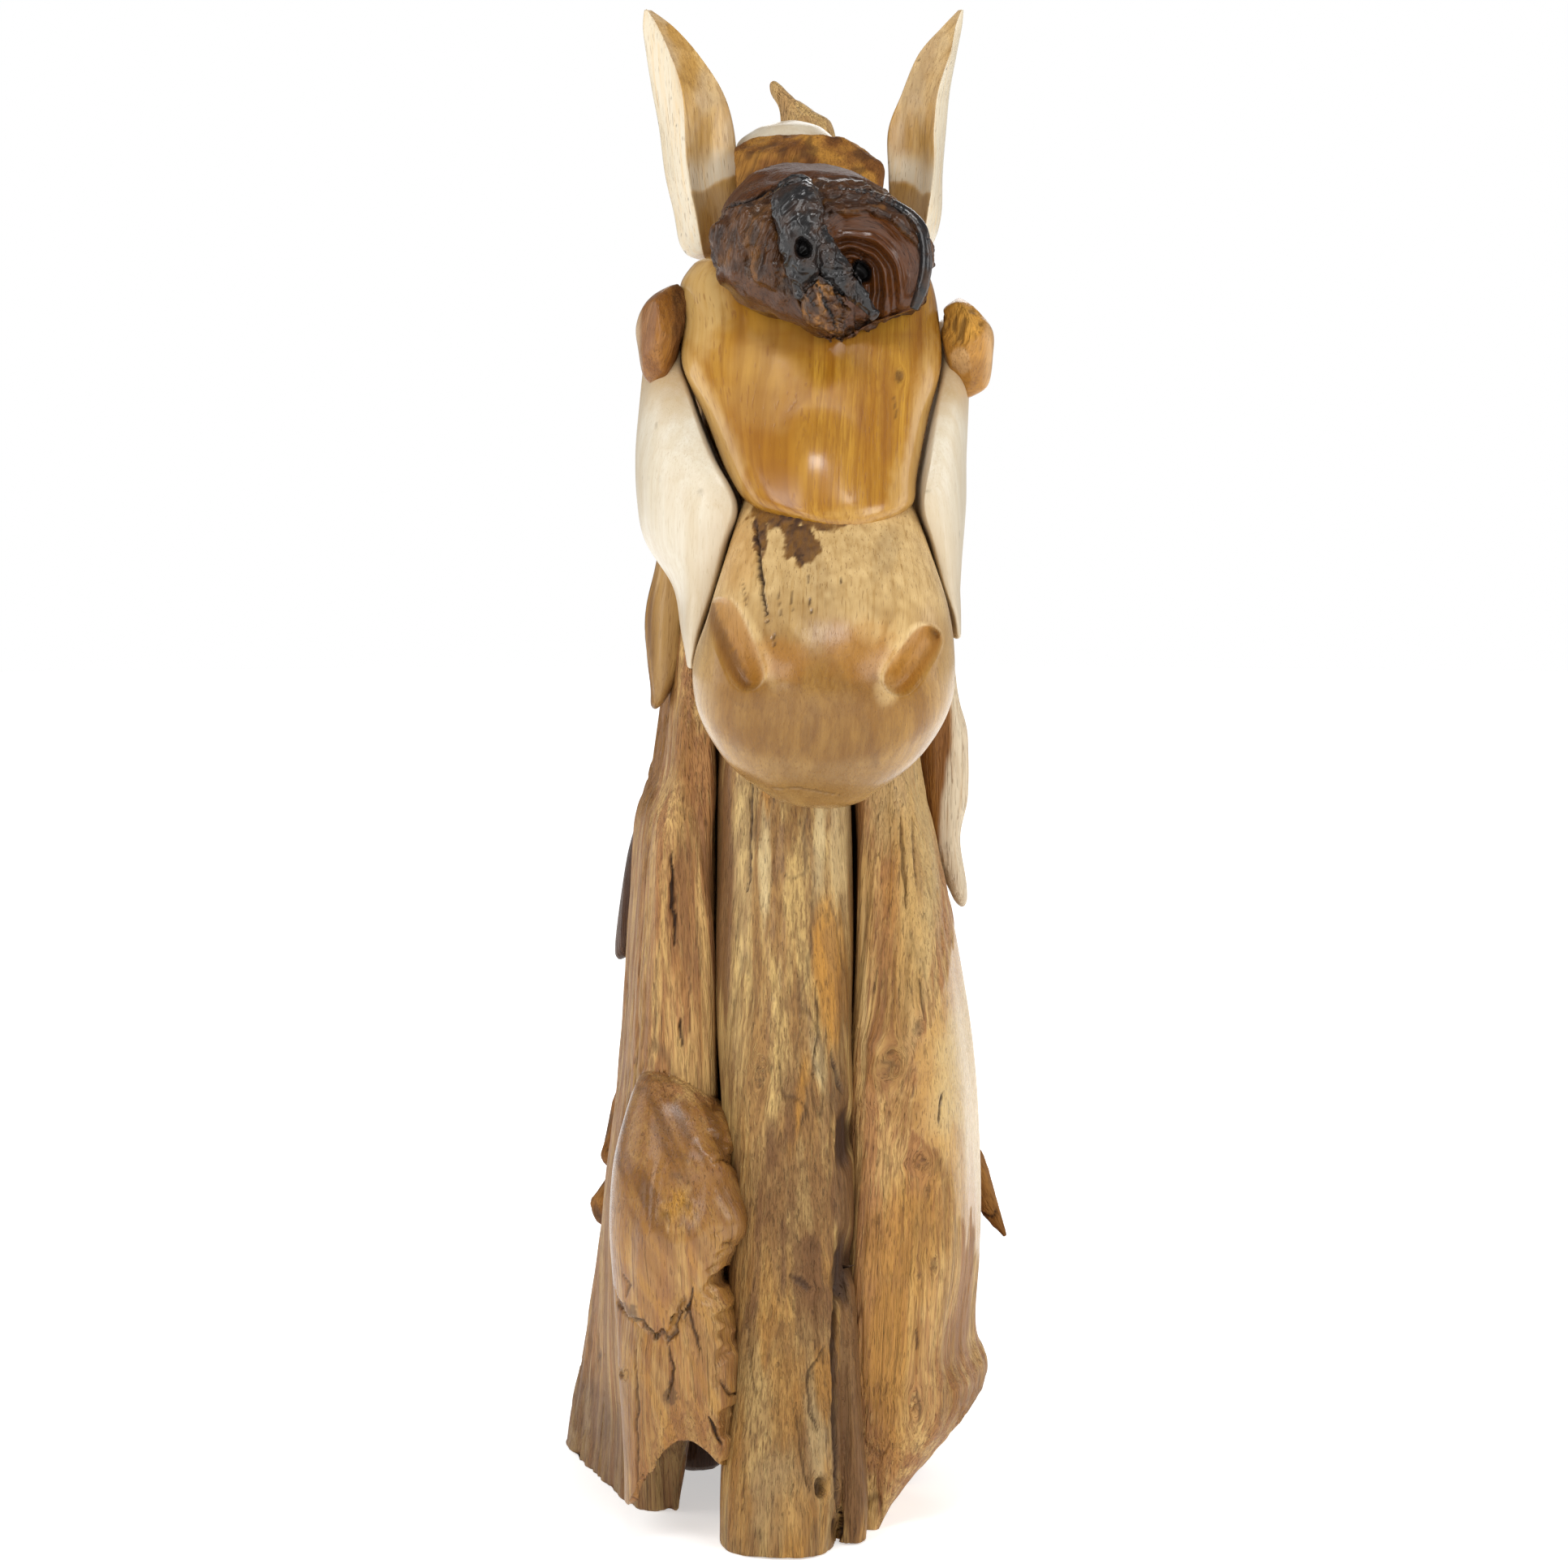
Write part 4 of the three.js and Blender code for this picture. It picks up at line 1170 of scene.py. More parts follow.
        # Painted sheen on the muzzle.
        for x, z, wide, tall, lean, share in self.painted_sheen:
            shell.mark(PALE, share * smooth(1.15, 0.3, oval(points, x, z, wide, tall, lean) + 0.8 * cloud))
        # Pale left and right edges of the muzzle: a painted reflection of the white surroundings; below the
        # chin crease the wood is a little paler.
        sides = np.maximum(smooth(-48, -74, points[:, 0]), smooth(116, 142, points[:, 0]))
        shell.mark(PALE, 0.5 * sides + 0.18 * smooth(-4.0, 8.0, below))
        carve_all(shell, self.muzzle_tones)
        return shell

    def scoop(self, shell: Shell, upper: Spot, lower: Spot, half_width: float, depth: float) -> None:
        """Gouges a slanted nostril: its sides slope in to a line a little outside its middle.

        Args:
            shell: Skin of the muzzle.
            upper: Upper end seen from the front.
            lower: Lower end seen from the front.
            half_width: Half of its width.
            depth: Its depth.
        """
        lean = math.atan2(upper[0] - lower[0], upper[1] - lower[1])
        dx = shell.points[:, 0] - (upper[0] + lower[0]) / 2
        dz = shell.points[:, 2] - (upper[1] + lower[1]) / 2
        upward = (dx * math.sin(lean) + dz * math.cos(lean)) / (math.dist(upper, lower) / 2)
        across = (dx * math.cos(lean) - dz * math.sin(lean)) / half_width
        inward = across * math.copysign(1.0, self.middle - upper[0])
        leaf = np.maximum(1.0 - upward**4, 0.0)
        share = inward / np.sqrt(np.maximum(leaf, 0.04))
        front = shell.facing(-0.2, 0.2)
        open_part = smooth(0.0, 0.45, leaf) * front
        sunk = smooth(-1.05, -0.25, share) * smooth(1.08, 0.0, share)
        sunk *= open_part
        shell.points[:, 1] += depth * sunk
        floor = smooth(-1.0, -0.6, share) * smooth(1.0, 0.8, share) * open_part
        fibres = layered(shell.points, (4, 4, 40), 26, 2)
        reddish = 0.55 if upper[0] < self.middle else 0.15
        shell.mark(STAIN_AND_SHADE, floor * (reddish * smooth(0.0, -0.3, share + 0.3 * fibres) + 0.06))
        shell.mark(GOLD, 0.6 * floor)
        shell.mark(RAW, 0.4 * floor)
        shell.push(0.5 * fibres * floor)
        # Pale band along the steep inner rim: a painted highlight.
        rim_highlight = smooth(0.70, 1.0, share) * smooth(1.7, 1.15, share) * open_part
        shell.mark(PALE, 0.9 * rim_highlight)

    def dressed_cheek(self, form: Lump, seed: int) -> Shell:
        """Cream sapwood, tan under the eye, with an open joint along the forehead and the muzzle that is
        darkened as painted shade.

        Args:
            form: The cheek's lump.
            seed: Tells one cheek from the other.

        Returns:
            The finished skin.
        """
        shell = form.surface(130, 116)
        side = 1 if form.cuts[4][1] < 0 else 2
        shell.lay_grain((60, 40), (0.0, -0.2), 900, seed)
        shell.weather(2.2, 0.0, 30 + seed)
        for neighbour in (self.forehead, self.muzzle):
            edge = [(cut[side], cut[0]) for cut in neighbour.cuts[2:-1]]
            gap, _ = path_distance(shell.points, edge)
            sunk = smooth(self.seam_width, 0.0, gap) * shell.facing() * smooth(700, 860, shell.points[:, 2])
            shell.points[:, 1] += self.seam_depth * sunk
            # Painted shade in the sunk joint.
            shell.mark(DARK, 0.65 * smooth(0.5, 0.9, sunk))
        cloud = layered(shell.points, (26, 26, 40), 35 + seed)
        shell.mark(STAIN_AND_SHADE, 0.75 * smooth(970, 1022, shell.points[:, 2] + 16 * cloud))
        shell.mark(STAIN_AND_SHADE, 0.14 * smooth(0.1, 0.6, cloud) + 0.3 * smooth(40, 5, gap + 14 * cloud))
        shell.mark(DARK, 0.35 * smooth(0.88, 0.95, noise(shell.points, (5, 5, 12), 38 + seed)))
        return shell

    def dressed_eye(self, form: Lump, middle: float, seed: int) -> Shell:
        """A hewn, polished eye: a lump cut by flat facets, rough where it meets the head.

        Args:
            form: The eye's lump.
            middle: Its middle in x.
            seed: Tells one eye from the other.

        Returns:
            The finished skin.
        """
        shell = form.surface(66, 80)
        hew(shell, np.array([middle, -98.0, 1054.0]), self.eye_facets, 0.65)
        shell.lay_grain((middle - 30, -60), (0.25, 0.0), 1050, seed)
        shell.weather(0.8, 0.0, 50 + seed)
        inward = np.sign(20 - middle) * (shell.points[:, 0] - middle)
        ragged = 0.25 * layered(shell.points, (9, 9, 9), 52 + seed)
        if middle < 0:
            rim = smooth(8, 15, inward + 12 * ragged)
            shell.mark(DARK, 0.4 * rim)
            shell.mark(PALE, 0.5 * smooth(14, 20, -inward))
        else:
            rim = smooth(1.05, 0.8, oval(shell.points, 153, 1068, 21, 17) + ragged)
            shell.push(-2.5 * rim)
            shell.mark(GOLD, 0.5 + 0.4 * rim)
            shell.mark(STAIN_AND_SHADE, 0.3 * smooth(1.1, 0.6, oval(shell.points, 158, 1026, 22, 14) + ragged))
            shell.mark(PALE, 0.4 * smooth(10, 18, -inward))
            # Pale lower facet: partly paler wood and partly a painted highlight.
            shell.mark(PALE, 0.5 * smooth(1.0, 0.7, oval(shell.points, 152, 1036, 12, 9, 1.2) + ragged))
        shell.mark(RAW, rim)
        shell.wrinkle(2.2, rim, 9, 55 + seed)
        return shell


# Crown


@dataclass
class Crown(SubAssembly):
    """Ears, forelock burl, poll block, crest cap and the top of the mane."""

    ear_left: Lump = Lump(power=2.2, front_left=1.25, front_right=0.9, low_round=6, cuts=(
        at(1128, -82, -58, -14, 14, -70), at(1142, -93, -48, -26, 26, -73), at(1170, -99, -43, -31, 32, -78),
        at(1205, -107, -41, -33, 35, -85), at(1245, -112, -44, -31, 33, -87),
        at(1278, -118, -54, -27, 29, -90),
        at(1310, -123, -75, -19, 22, -101), at(1334, -126, -97, -10, 14, -112),
        at(1350, -124.5, -119, -2, 5, -122)))
    ear_right: Lump = Lump(power=2.2, front_left=0.9, front_right=1.25, low_round=6, cuts=(
        at(1130, 106, 124, -14, 14, 118), at(1146, 98, 135, -26, 26, 123), at(1170, 95, 141, -31, 32, 127),
        at(1205, 93, 142, -33, 35, 132), at(1243, 92, 145, -31, 33, 132), at(1276, 104, 148, -27, 29, 136),
        at(1310, 119, 154, -19, 22, 147), at(1334, 140, 158.5, -10, 14, 152),
        at(1350, 155.5, 160, -2, 5, 158)))
    burl: Lump = Lump(power=2.6, front_right=4.5, low_round=6, top_round=6, cuts=(
        at(1051, 34, 50, -176, -120), at(1066, 4, 74, -190, -105), at(1081, -30, 114, -198, -95),
        at(1106, -55, 123, -204, -80), at(1135, -60, 125, -204, -60), at(1158, -56, 109, -198, -50),
        at(1181, -42, 84, -180, -42), at(1197, -27, 61, -146, -42), at(1208, 0, 32, -105, -58)))
    trunk: Root = Root(
        ((11, -188, 1176), (11, -208, 1162), (13, -216, 1140), (16, -213, 1112), (13, -206, 1090)),
        (16, 21, 19, 15, 6), 0.9)
    leg: Root = Root(
        ((22, -210, 1140), (38, -214, 1116), (56, -212, 1095), (76, -204, 1072)), (13, 12, 9, 4), 0.9)
    lobe: Root = Root(((30, -200, 1106), (33, -204, 1084), (44, -194, 1062)), (15, 19, 9), 0.8)
    lip: Root = Root(
        ((48, -180, 1176), (76, -181, 1171), (99, -182, 1161), (114, -187, 1147), (119, -191, 1130),
         (119, -193, 1110), (115, -192, 1092), (110, -190, 1079)),
        (4, 4.5, 5, 5.5, 5.5, 5.5, 5.5, 4))
    # Bowl in the burl: middle, radius of its rim, depth and growth rings
    bowl_x: float = 60
    bowl_z: float = 1106
    bowl_rim: float = 57
    bowl_depth: float = 34
    terraces: int = 5
    band: tuple[Spot, ...] = ((-50, 1164), (-31, 1169), (-11, 1178), (23, 1187), (60, 1190), (90, 1178))
    holes: tuple[tuple[float, float, float], ...] = ((16, 1126, 6.5), (66, 1110, 9))
    poll: Lump = Lump(power=4.5, top_round=5, cuts=(
        at(1140, -34, 78, -70, 20), at(1188, -41, 87, -72, 40), at(1210, -43, 87, -62, 42),
        at(1226, -42, 68, -56, 40), at(1238, -22, 44, -44, 30)))
    # Flat faces of the poll block: direction and distance from its middle
    poll_facets: tuple[tuple[float, ...], ...] = (
        (0.0, -1.0, 0.12, 46), (0.55, -0.2, 0.8, 58), (0.9, -0.45, 0.0, 74), (-0.55, -0.8, 0.2, 54),
        (0.25, -0.8, 0.55, 50), (-0.3, -0.5, 0.8, 52))
    cap: Lump = Lump(power=2.2, top_round=8, cuts=(
        at(1205, -38, 44, 0, 78), at(1232, -43, 48, -4, 84), at(1247, -26, 36, 6, 76),
        at(1255, -8, 24, 18, 62)))
    mane_top: Lump = Lump(power=2, low_round=18, top_round=5, cuts=(
        at(930, 30, 52, 202, 236), at(1020, 12, 56, 160, 214), at(1110, 2, 54, 118, 176),
        at(1190, -2, 52, 86, 142), at(1252, -4, 46, 76, 114), at(1270, -6, 27, 78, 104),
        at(1284, -13, 7, 80, 97), at(1296, -14, -4, 82, 92)))

    def build(self) -> None:
        """Builds and dresses the pieces of the crown."""
        self.add("ear_left", self.dressed_ear(self.ear_left, -1, 7), EAR)
        self.add("ear_right", self.dressed_ear(self.ear_right, 1, 8), EAR)
        self.add("forelock_burl", self.dressed_burl(), BURL)
        self.add("poll_block", self.dressed_poll(), BROWN)
        self.add("crest_cap", self.dressed_cap(), SAPWOOD)
        self.add("mane_top", self.dressed_mane_top(), WEATHERED)

    def dressed_ear(self, form: Lump, side: int, seed: int) -> Shell:
        """A wedge with a flat cream outer face, pale partly as painted side light, and a hollow tan inner
        face with a painted highlight band and painted shade below it.

        Args:
            form: The ear's lump.
            side: -1 for the left ear, 1 for the right one.
            seed: Tells one ear from the other.

        Returns:
            The finished skin.
        """
        shell = form.surface(120, 76)
        shell.lay_grain((side * 160, 60), (0.1 * side, 0.0), 1240, seed)
        shell.weather(1.1, 0.0, 60 + seed)
        outward = side * shell.normals()[:, 0]
        cloud = layered(shell.points, (22, 22, 40), 62 + seed)
        # The outer face is pale partly from its cream wood and partly as painted side light.
        shell.mark(PALE, smooth(0.15, 0.55, outward + 0.1 * cloud))
        inner = smooth(0.1, -0.2, outward)
        z = shell.points[:, 2]
        middle = form.cuts[4][5] - 0.16 * side * 130
        shell.push(-4.5 * inner * smooth(1.1, 0.2, oval(shell.points, middle, 1215, 17, 62)))
        shell.mark(PALE, 0.30 * inner * smooth(-0.5, 0.3, cloud))
        # Painted highlight: a pale band low on the inner face.
        edge = z - 1192 + 0.35 * side * (shell.points[:, 0] - middle) + 7 * cloud
        shell.mark(PALE, inner * 0.9 * smooth(-1.5, 3, edge) * smooth(40, 12, edge))
        spots = 0.2 * smooth(0.1, 0.5, cloud) * smooth(20, 60, edge)
        # Painted shade: the inner face is browner below the pale band; the spots above it are the wood's own
        # tone.
        shell.mark(STAIN_AND_SHADE, inner * (0.30 * smooth(1.5, -3, edge) + spots))
        shell.mark(DARK, 0.7 * smooth(0.90, 0.95, noise(shell.points, (4, 4, 5), 66 + seed)))
        return shell

    def dressed_burl(self) -> Shell:
        """Dark gnarled burl with a ringed bowl, a charred forked root across it and two holes.

        Returns:
            The finished skin.
        """
        block = self.burl.surface(210, 210)
        uneven = 4.5 * layered(block.points, (40, 40, 32), 69, 2)
        uneven += 3.0 * layered(block.points, (19, 19, 17), 71, 2)
        block.push(uneven * smooth(60, 20, block.points[:, 0]))
        self.sink_bowl(block)
        charred = (self.trunk, self.leg, self.lip)
        shell = united([block, self.lobe.surface(90, 64), *(root.surface(100, 64) for root in charred)])
        shell.lay_grain((40, -60), (0.0, 0.0), 1120, 9)
        points = shell.points
        dx, dz = points[:, 0] - self.bowl_x, points[:, 2] - self.bowl_z
        shell.grain[:] = np.column_stack((np.hypot(dx, dz), points[:, 1], 60 * np.arctan2(dx, dz)))
        on_root = np.minimum.reduce([root.distance(points) for root in charred])
        char = smooth(1.25, 1.0, on_root + 0.14 * layered(points, (9, 9, 9), 68))
        on_lobe = smooth(1.3, 1.05, self.lobe.distance(points)) * (1 - char)
        reach = self.bowl_reach(points)
        bowl = smooth(1.0, 0.92, reach) * smooth(-34, -14, points[:, 0] - self.bowl_x)
        bowl *= smooth(-150, -165, points[:, 1]) * (1 - char) * (1 - on_lobe)
        crown = smooth(-1, 3, points[:, 2] - np.interp(points[:, 0], *np.array(self.band).T))
        below = smooth(-2, 4, 1112 - 0.45 * (points[:, 0] + 46) - points[:, 2]) * smooth(40, 24, points[:, 0])
        below *= (1 - on_lobe) * (1 - char)
        rough = (1 - bowl) * (1 - crown) * (1 - 0.9 * below)
        shell.wrinkle(4.5, rough * (1 - char), 20, 73, 0.5)
        shell.wrinkle(2.4, rough * (1 - char), 9, 77, 0.5)
        shell.push(3.4 * rough * (1 - char) * layered(shell.grain, (5, 12, 24), 72, 2))
        on_trunk = char * smooth(96, 84, points[:, 0])
        shell.wrinkle(5.0, on_trunk * shell.facing(-0.4, 0.2), 13, 74, 0.3)
        carve_all(shell, (
            Crack(self.band[:4], 3.0, 5.0, 0.9), Crack(((26, 1100), (38, 1076), (46, 1060)), 3.0, 4.0),
            Crack(((16, 1096), (26, 1078)), 2.5, 3.0), Crack(((40, 1096), (52, 1076)), 2.5, 3.0)))
        front = shell.facing(-0.2, 0.2)
        for x, z, radius in self.holes:
            ragged = 0.25 * layered(points, (8, 8, 8), 76)
            gap = oval(shell.points, x, z, radius, 1.25 * radius, -0.3) + ragged
            sunk = smooth(1.15, 0.6, gap) * front
            shell.points[:, 1] += 20 * sunk
            shell.mark(DARK, smooth(0.3, 0.8, sunk))
        shell.clear(DARK, 0.8 * bowl * smooth(0.25, 0.35, reach))
        shell.mark(DARK, char * (0.95 + 0.5 * layered(points, (9, 9, 14), 75)))
        shell.mark(STAIN_AND_SHADE, 0.85 * bowl + 0.8 * crown + 0.3 * below)
        shell.mark(PALE, 0.8 * on_lobe * smooth(0.0, 0.5, layered(points, (8, 8, 14), 78)))
        shell.mark(PALE, 0.25 * rough * smooth(0.15, 0.5, layered(shell.grain, (6, 16, 22), 79)))
        shell.mark(RAW, 0.35 * rough * (1 - char) + 0.9 * crown)
        return shell

    def bowl_reach(self, points: Array) -> Array:
        """Distance from the middle of the bowl, an arch open below, in radii of its uneven rim.

        Args:
            points: Places in space.

        Returns:
            0 in the middle and 1 on the rim.
        """
        dx = points[:, 0] - self.bowl_x
        dz = np.maximum(points[:, 2] - self.bowl_z, 0.0)
        return (np.hypot(dx, 1.06 * dz) + 2.5 * layered(points, (30, 200, 30), 70, 2)) / self.bowl_rim

    def sink_bowl(self, block: Shell) -> None:
        """Presses a bowl into the front: depth (1 - r)^0.55 with a ridge for each growth ring.

        Args:
            block: Skin of the burl.
        """
        reach = self.bowl_reach(block.points)
        dx = block.points[:, 0] - self.bowl_x
        front = block.facing(-0.1, 0.3) * smooth(-40, -10, dx)
        fall = np.clip(1.0 - reach, 0.0, 1.0)
        turns = 2 * math.pi * self.terraces * (fall**1.6 + 0.12 * layered(block.points, (26, 90, 40), 65, 2))
        ridge = (0.8 + 3.6 * smooth(0.2, 0.5, fall)) * np.cos(turns)
        ridge *= smooth(0.0, 0.1, fall)
        ridge *= smooth(0.9, 0.7, fall)
        block.points[:, 1] += (self.bowl_depth * fall**0.55 - ridge) * front

    def dressed_poll(self) -> Shell:
        """Rough-sawn reddish block with chipped edges.

        Returns:
            The finished skin.
        """
        shell = self.poll.surface(90, 130)
        hew(shell, np.array([20.0, -15.0, 1190.0]), self.poll_facets, 1.0)
        shell.lay_grain((20, 100), (0.3, 0.0), 1200, 10)
        shell.weather(1.2, 0.8, 80)
        shell.wrinkle(1.5, 1.0, 14, 81)
        cloud = layered(shell.points, (22, 22, 16), 82)
        shell.mark(GOLD, 0.55 * smooth(-0.1, 0.4, cloud))
        shell.mark(STAIN_AND_SHADE, 0.4 * smooth(0.05, -0.4, cloud) + 0.35 * smooth(0, -35, shell.points[:, 0]))
        shell.mark(RAW, np.ones(len(shell.points)))
        return shell

    def dressed_cap(self) -> Shell:
        """Polished pale cap behind the poll.

        Returns:
            The finished skin.
        """
        shell = self.cap.surface(56, 90)
        shell.lay_grain((0, 160), (0.0, 0.0), 1230, 11)
        shell.weather(1.2, 0.0, 85)
        shell.mark(STAIN_AND_SHADE, 0.35 * smooth(0.0, 0.6, layered(shell.points, (30, 30, 30), 86)))
        return shell

    def dressed_mane_top(self) -> Shell:
        """Weathered root that rises to a spike behind the cap.

        Returns:
            The finished skin.
        """
        shell = self.mane_top.surface(150, 60)
        shell.lay_grain((20, 150), (0.0, -0.35), 1110, 12)
        shell.weather(2.2, 1.1, 90)
        shell.furrow(2.5, 1.0, 91, (22, 160))
        shell.mark(PALE, 0.45 * smooth(1180, 1250, shell.points[:, 2]))
        shell.mark(RAW, np.full(len(shell.points), 0.75))
        return shell


# Neck


@dataclass
class Neck(SubAssembly):
    """Front log, the two broad planks and the throat slab."""

    chest_log: Lump = Lump(cuts=(
        at(0, -57, 45, -195, -60, 6), at(60, -56, 54, -194, -55, 8), at(170, -51, 61, -185, -45, 10),
        at(320, -52, 62, -169, -35, 10), at(460, -58, 62, -157, -25, 6), at(610, -59, 61, -146, -10, 2),
        at(710, -58, 58, -136, 0), at(800, -50, 55, -122, 10)))
    flange: Lump = Lump(power=2.6, top_round=40, cuts=(
        at(0, 46, 72, -150, -95), at(50, 44, 74, -155, -92), at(150, 40, 68, -160, -85),
        at(270, 38, 62, -146, -75)))
    # Hollows of the front log, darkened as painted shade of the recess beside the right plank: x, z, half
    # width, half height and depth
    hollows: tuple[tuple[float, ...], ...] = ((54, 360, 9, 30, 5), (52, 246, 11, 38, 6))
    # Tones of the front log, with a painted shadow, painted shade and painted highlights among them
    log_tones_shade_highlights: tuple[Patch, ...] = (
        # Dark strip down the left side: painted shadow of the left plank.
        Patch(STAIN_AND_SHADE, -54, 590, 9, 130, 0.0, 0.85, 0.4), Patch(PALE, 50, 630, 10, 80, 0.0, 0.6),
        # Narrow pale strips at x 31 and -17: painted highlights.
        Patch(PALE, 31, 620, 5, 50, 0.02, 0.9), Patch(PALE, -17, 600, 5, 46, 0.0, 0.85),
        Patch(PALE, -35, 600, 9, 80, 0.0, 0.3), Patch(GOLD, -15, 672, 4, 24, 0.0, 0.8),
        Patch(STAIN_AND_SHADE, 8, 622, 12, 14, 0.3, 0.25), Patch(GOLD, 40, 512, 14, 66, -0.05, 0.8, 0.6),
        Patch(STAIN_AND_SHADE, 52, 478, 6, 40, 0.0, 0.65), Patch(STAIN_AND_SHADE, 58, 560, 3, 120, 0.0, 0.5),
        Patch(GOLD, 14, 400, 5, 40, 0.15, 0.75), Patch(PALE, 30, 430, 5, 30, -0.2, 0.6),
        Patch(STAIN_AND_SHADE, 38, 395, 6, 44, 0.15, 0.6), Patch(STAIN_AND_SHADE, 18, 300, 22, 60, 0.05, 0.55),
        Patch(STAIN_AND_SHADE, -8, 312, 16, 54, 0.0, 0.6),
        Patch(STAIN_AND_SHADE, -32, 240, 12, 70, 0.0, 0.4), Patch(STAIN_AND_SHADE, 8, 192, 24, 18, 0.1, 0.45),
        Patch(GOLD, 2, 150, 16, 50, -0.1, 0.55), Patch(PALE, -6, 56, 26, 38, 0.15, 0.3),
        Patch(PALE, 27, 110, 8, 50, -0.1, 0.6), Patch(STAIN_AND_SHADE, -26, 110, 8, 40, 0.4, 0.5),
        # Dark patch over the flange: painted shade beside the right plank.
        Patch(STAIN_AND_SHADE, 62, 130, 18, 140, 0.0, 0.85, 0.4), Patch(GOLD, -40, 60, 10, 60, 0.0, 0.5),
        Patch(STAIN_AND_SHADE, 21, 92, 3, 40, -0.1, 0.6), Patch(GOLD, 8, 40, 18, 30, 0.0, 0.4),
        Patch(GOLD, 35, 154, 10, 32, -0.1, 0.8))
    # Thin grey lines of spalted wood on the front log
    spalt: tuple[tuple[Spot, ...], ...] = (
        ((19, 650), (18, 624), (18, 594), (6, 588), (-4, 597)),
        ((26, 590), (24, 560), (23, 530), (21, 505), (13, 476)),
        ((30, 578), (37, 552), (41, 568), (46, 545), (52, 500)), ((18, 470), (10, 440), (22, 400), (12, 360)))
    plank_left: Lump = Lump(power=5, cuts=(
        at(0, -178, -130, -43, 211, splay=-0.34), at(70, -170, -112, -52, 209, splay=-0.28),
        at(150, -165, -82, -96, 203, splay=-0.2), at(260, -161, -70, -106, 188, splay=-0.11),
        at(400, -145, -70, -112, 168, splay=-0.12), at(540, -136, -71, -112, 150, splay=-0.12),
        at(620, -129, -71, -110, 135, splay=-0.12), at(672, -113, -70, -106, 122, splay=-0.12),
        at(740, -105, -68, -98, 110, splay=-0.1), at(900, -88, -60, -60, 90, splay=-0.08)))
    burl: Lump = Lump(power=2.6, front_left=2.3, front_right=3, top_round=10, cuts=(
        at(20, -142, -34, -168, -55, -88, -108), at(90, -144, -34, -178, -50, -86, -112),
        at(150, -146, -36, -182, -45, -86, -114), at(205, -148, -33, -182, -45, -88, -112),
        at(238, -150, -46, -180, -45, -92, -110), at(285, -153, -32, -182, -50, -90, -110),
        at(335, -150, -38, -172, -55, -94, -108), at(380, -139, -52, -150, -60, -100, -104),
        at(416, -124, -100, -122, -70)))
    # Lower edge of the burl from left to right: an arch over the foot and a lobe beside it
    hem: tuple[Spot, ...] = ((-160, 26), (-132, 36), (-121, 60), (-102, 90), (-84, 99), (-68, 90), (-54, 76),
                             (-41, 80), (-20, 95))
    # Tones of the left plank and its burl; two pale patches on the burl's right lobe and left ridge are
    # painted highlights
    left_tones_and_highlights: tuple[Patch, ...] = (
        Patch(DARK, -98, 142, 6, 12, 0.2, 0.6, 0.4, 0.6), Patch(DARK, -136, 211, 10, 8, 0.3, 0.6, 0.4, 0.6),
        Patch(DARK, -108, 374, 8, 6, 0.0, 0.3), Patch(DARK, -92, 350, 14, 5, 0.5, 0.3),
        Patch(DARK, -94, 333, 8, 4, 0.4, 0.4, 0.9, 0.6), Patch(STAIN_AND_SHADE, -84, 600, 9, 120, 0.0, 0.35),
        Patch(STAIN_AND_SHADE, -76, 470, 7, 80, 0.0, 0.35), Patch(STAIN_AND_SHADE, -106, 520, 6, 90, 0.0, 0.3),
        Patch(GOLD, -70, 335, 12, 30, -0.6, 0.4), Patch(GOLD, -105, 356, 18, 26, 0.0, 0.5),
        Patch(STAIN_AND_SHADE, -105, 356, 20, 28, 0.0, 0.5), Patch(STAIN_AND_SHADE, -92, 706, 14, 36, 0.0, 0.55),
        # Painted highlights on the burl's right lobe and left ridge.
        Patch(PALE, -48, 288, 13, 30, 0.1, 0.25), Patch(PALE, -115, 262, 9, 66, 0.12, 0.22),
        Patch(PALE, -70, 215, 14, 40, 0.2, 0.25))
    # Swells and the hollow of the burl: x, z, half width, half height, lean and height
    swells: tuple[tuple[float, ...], ...] = (
        (-88, 316, 32, 44, 0.2, -9), (-116, 280, 18, 80, 0.12, 8), (-44, 290, 22, 34, 0.0, 8),
        (-62, 345, 26, 26, -0.6, 5))
    # Broken edge of the burl's polished skin
    ledge: tuple[Spot, ...] = ((-152, 232), (-143, 216), (-134, 204), (-117, 195), (-104, 199), (-96, 207),
                               (-89, 230))
    plank_right: Lump = Lump(power=3.6, cuts=(
        at(0, 71, 97, -103, 55, 93, splay=0.17), at(28, 64, 114, -106, 58, 98, splay=0.18),
        at(58, 62, 140, -112, 60, 104, splay=0.21), at(92, 64, 166, -122, 60, splay=0.24),
        at(122, 66, 175, -126, 60, splay=0.25), at(160, 66, 164, -130, 60, splay=0.24),
        at(240, 64, 172, -131, 60, splay=0.2), at(330, 63, 172, -128, 60, splay=0.18),
        at(420, 63, 166, -122, 58, splay=0.16), at(500, 66, 154, -117, 54, splay=0.14),
        at(600, 67, 135, -110, 48, splay=0.14), at(680, 66, 118, -102, 44, splay=0.12),
        at(780, 65, 112, -92, 38, splay=0.08), at(890, 63, 108, -70, 30, splay=0.04)))
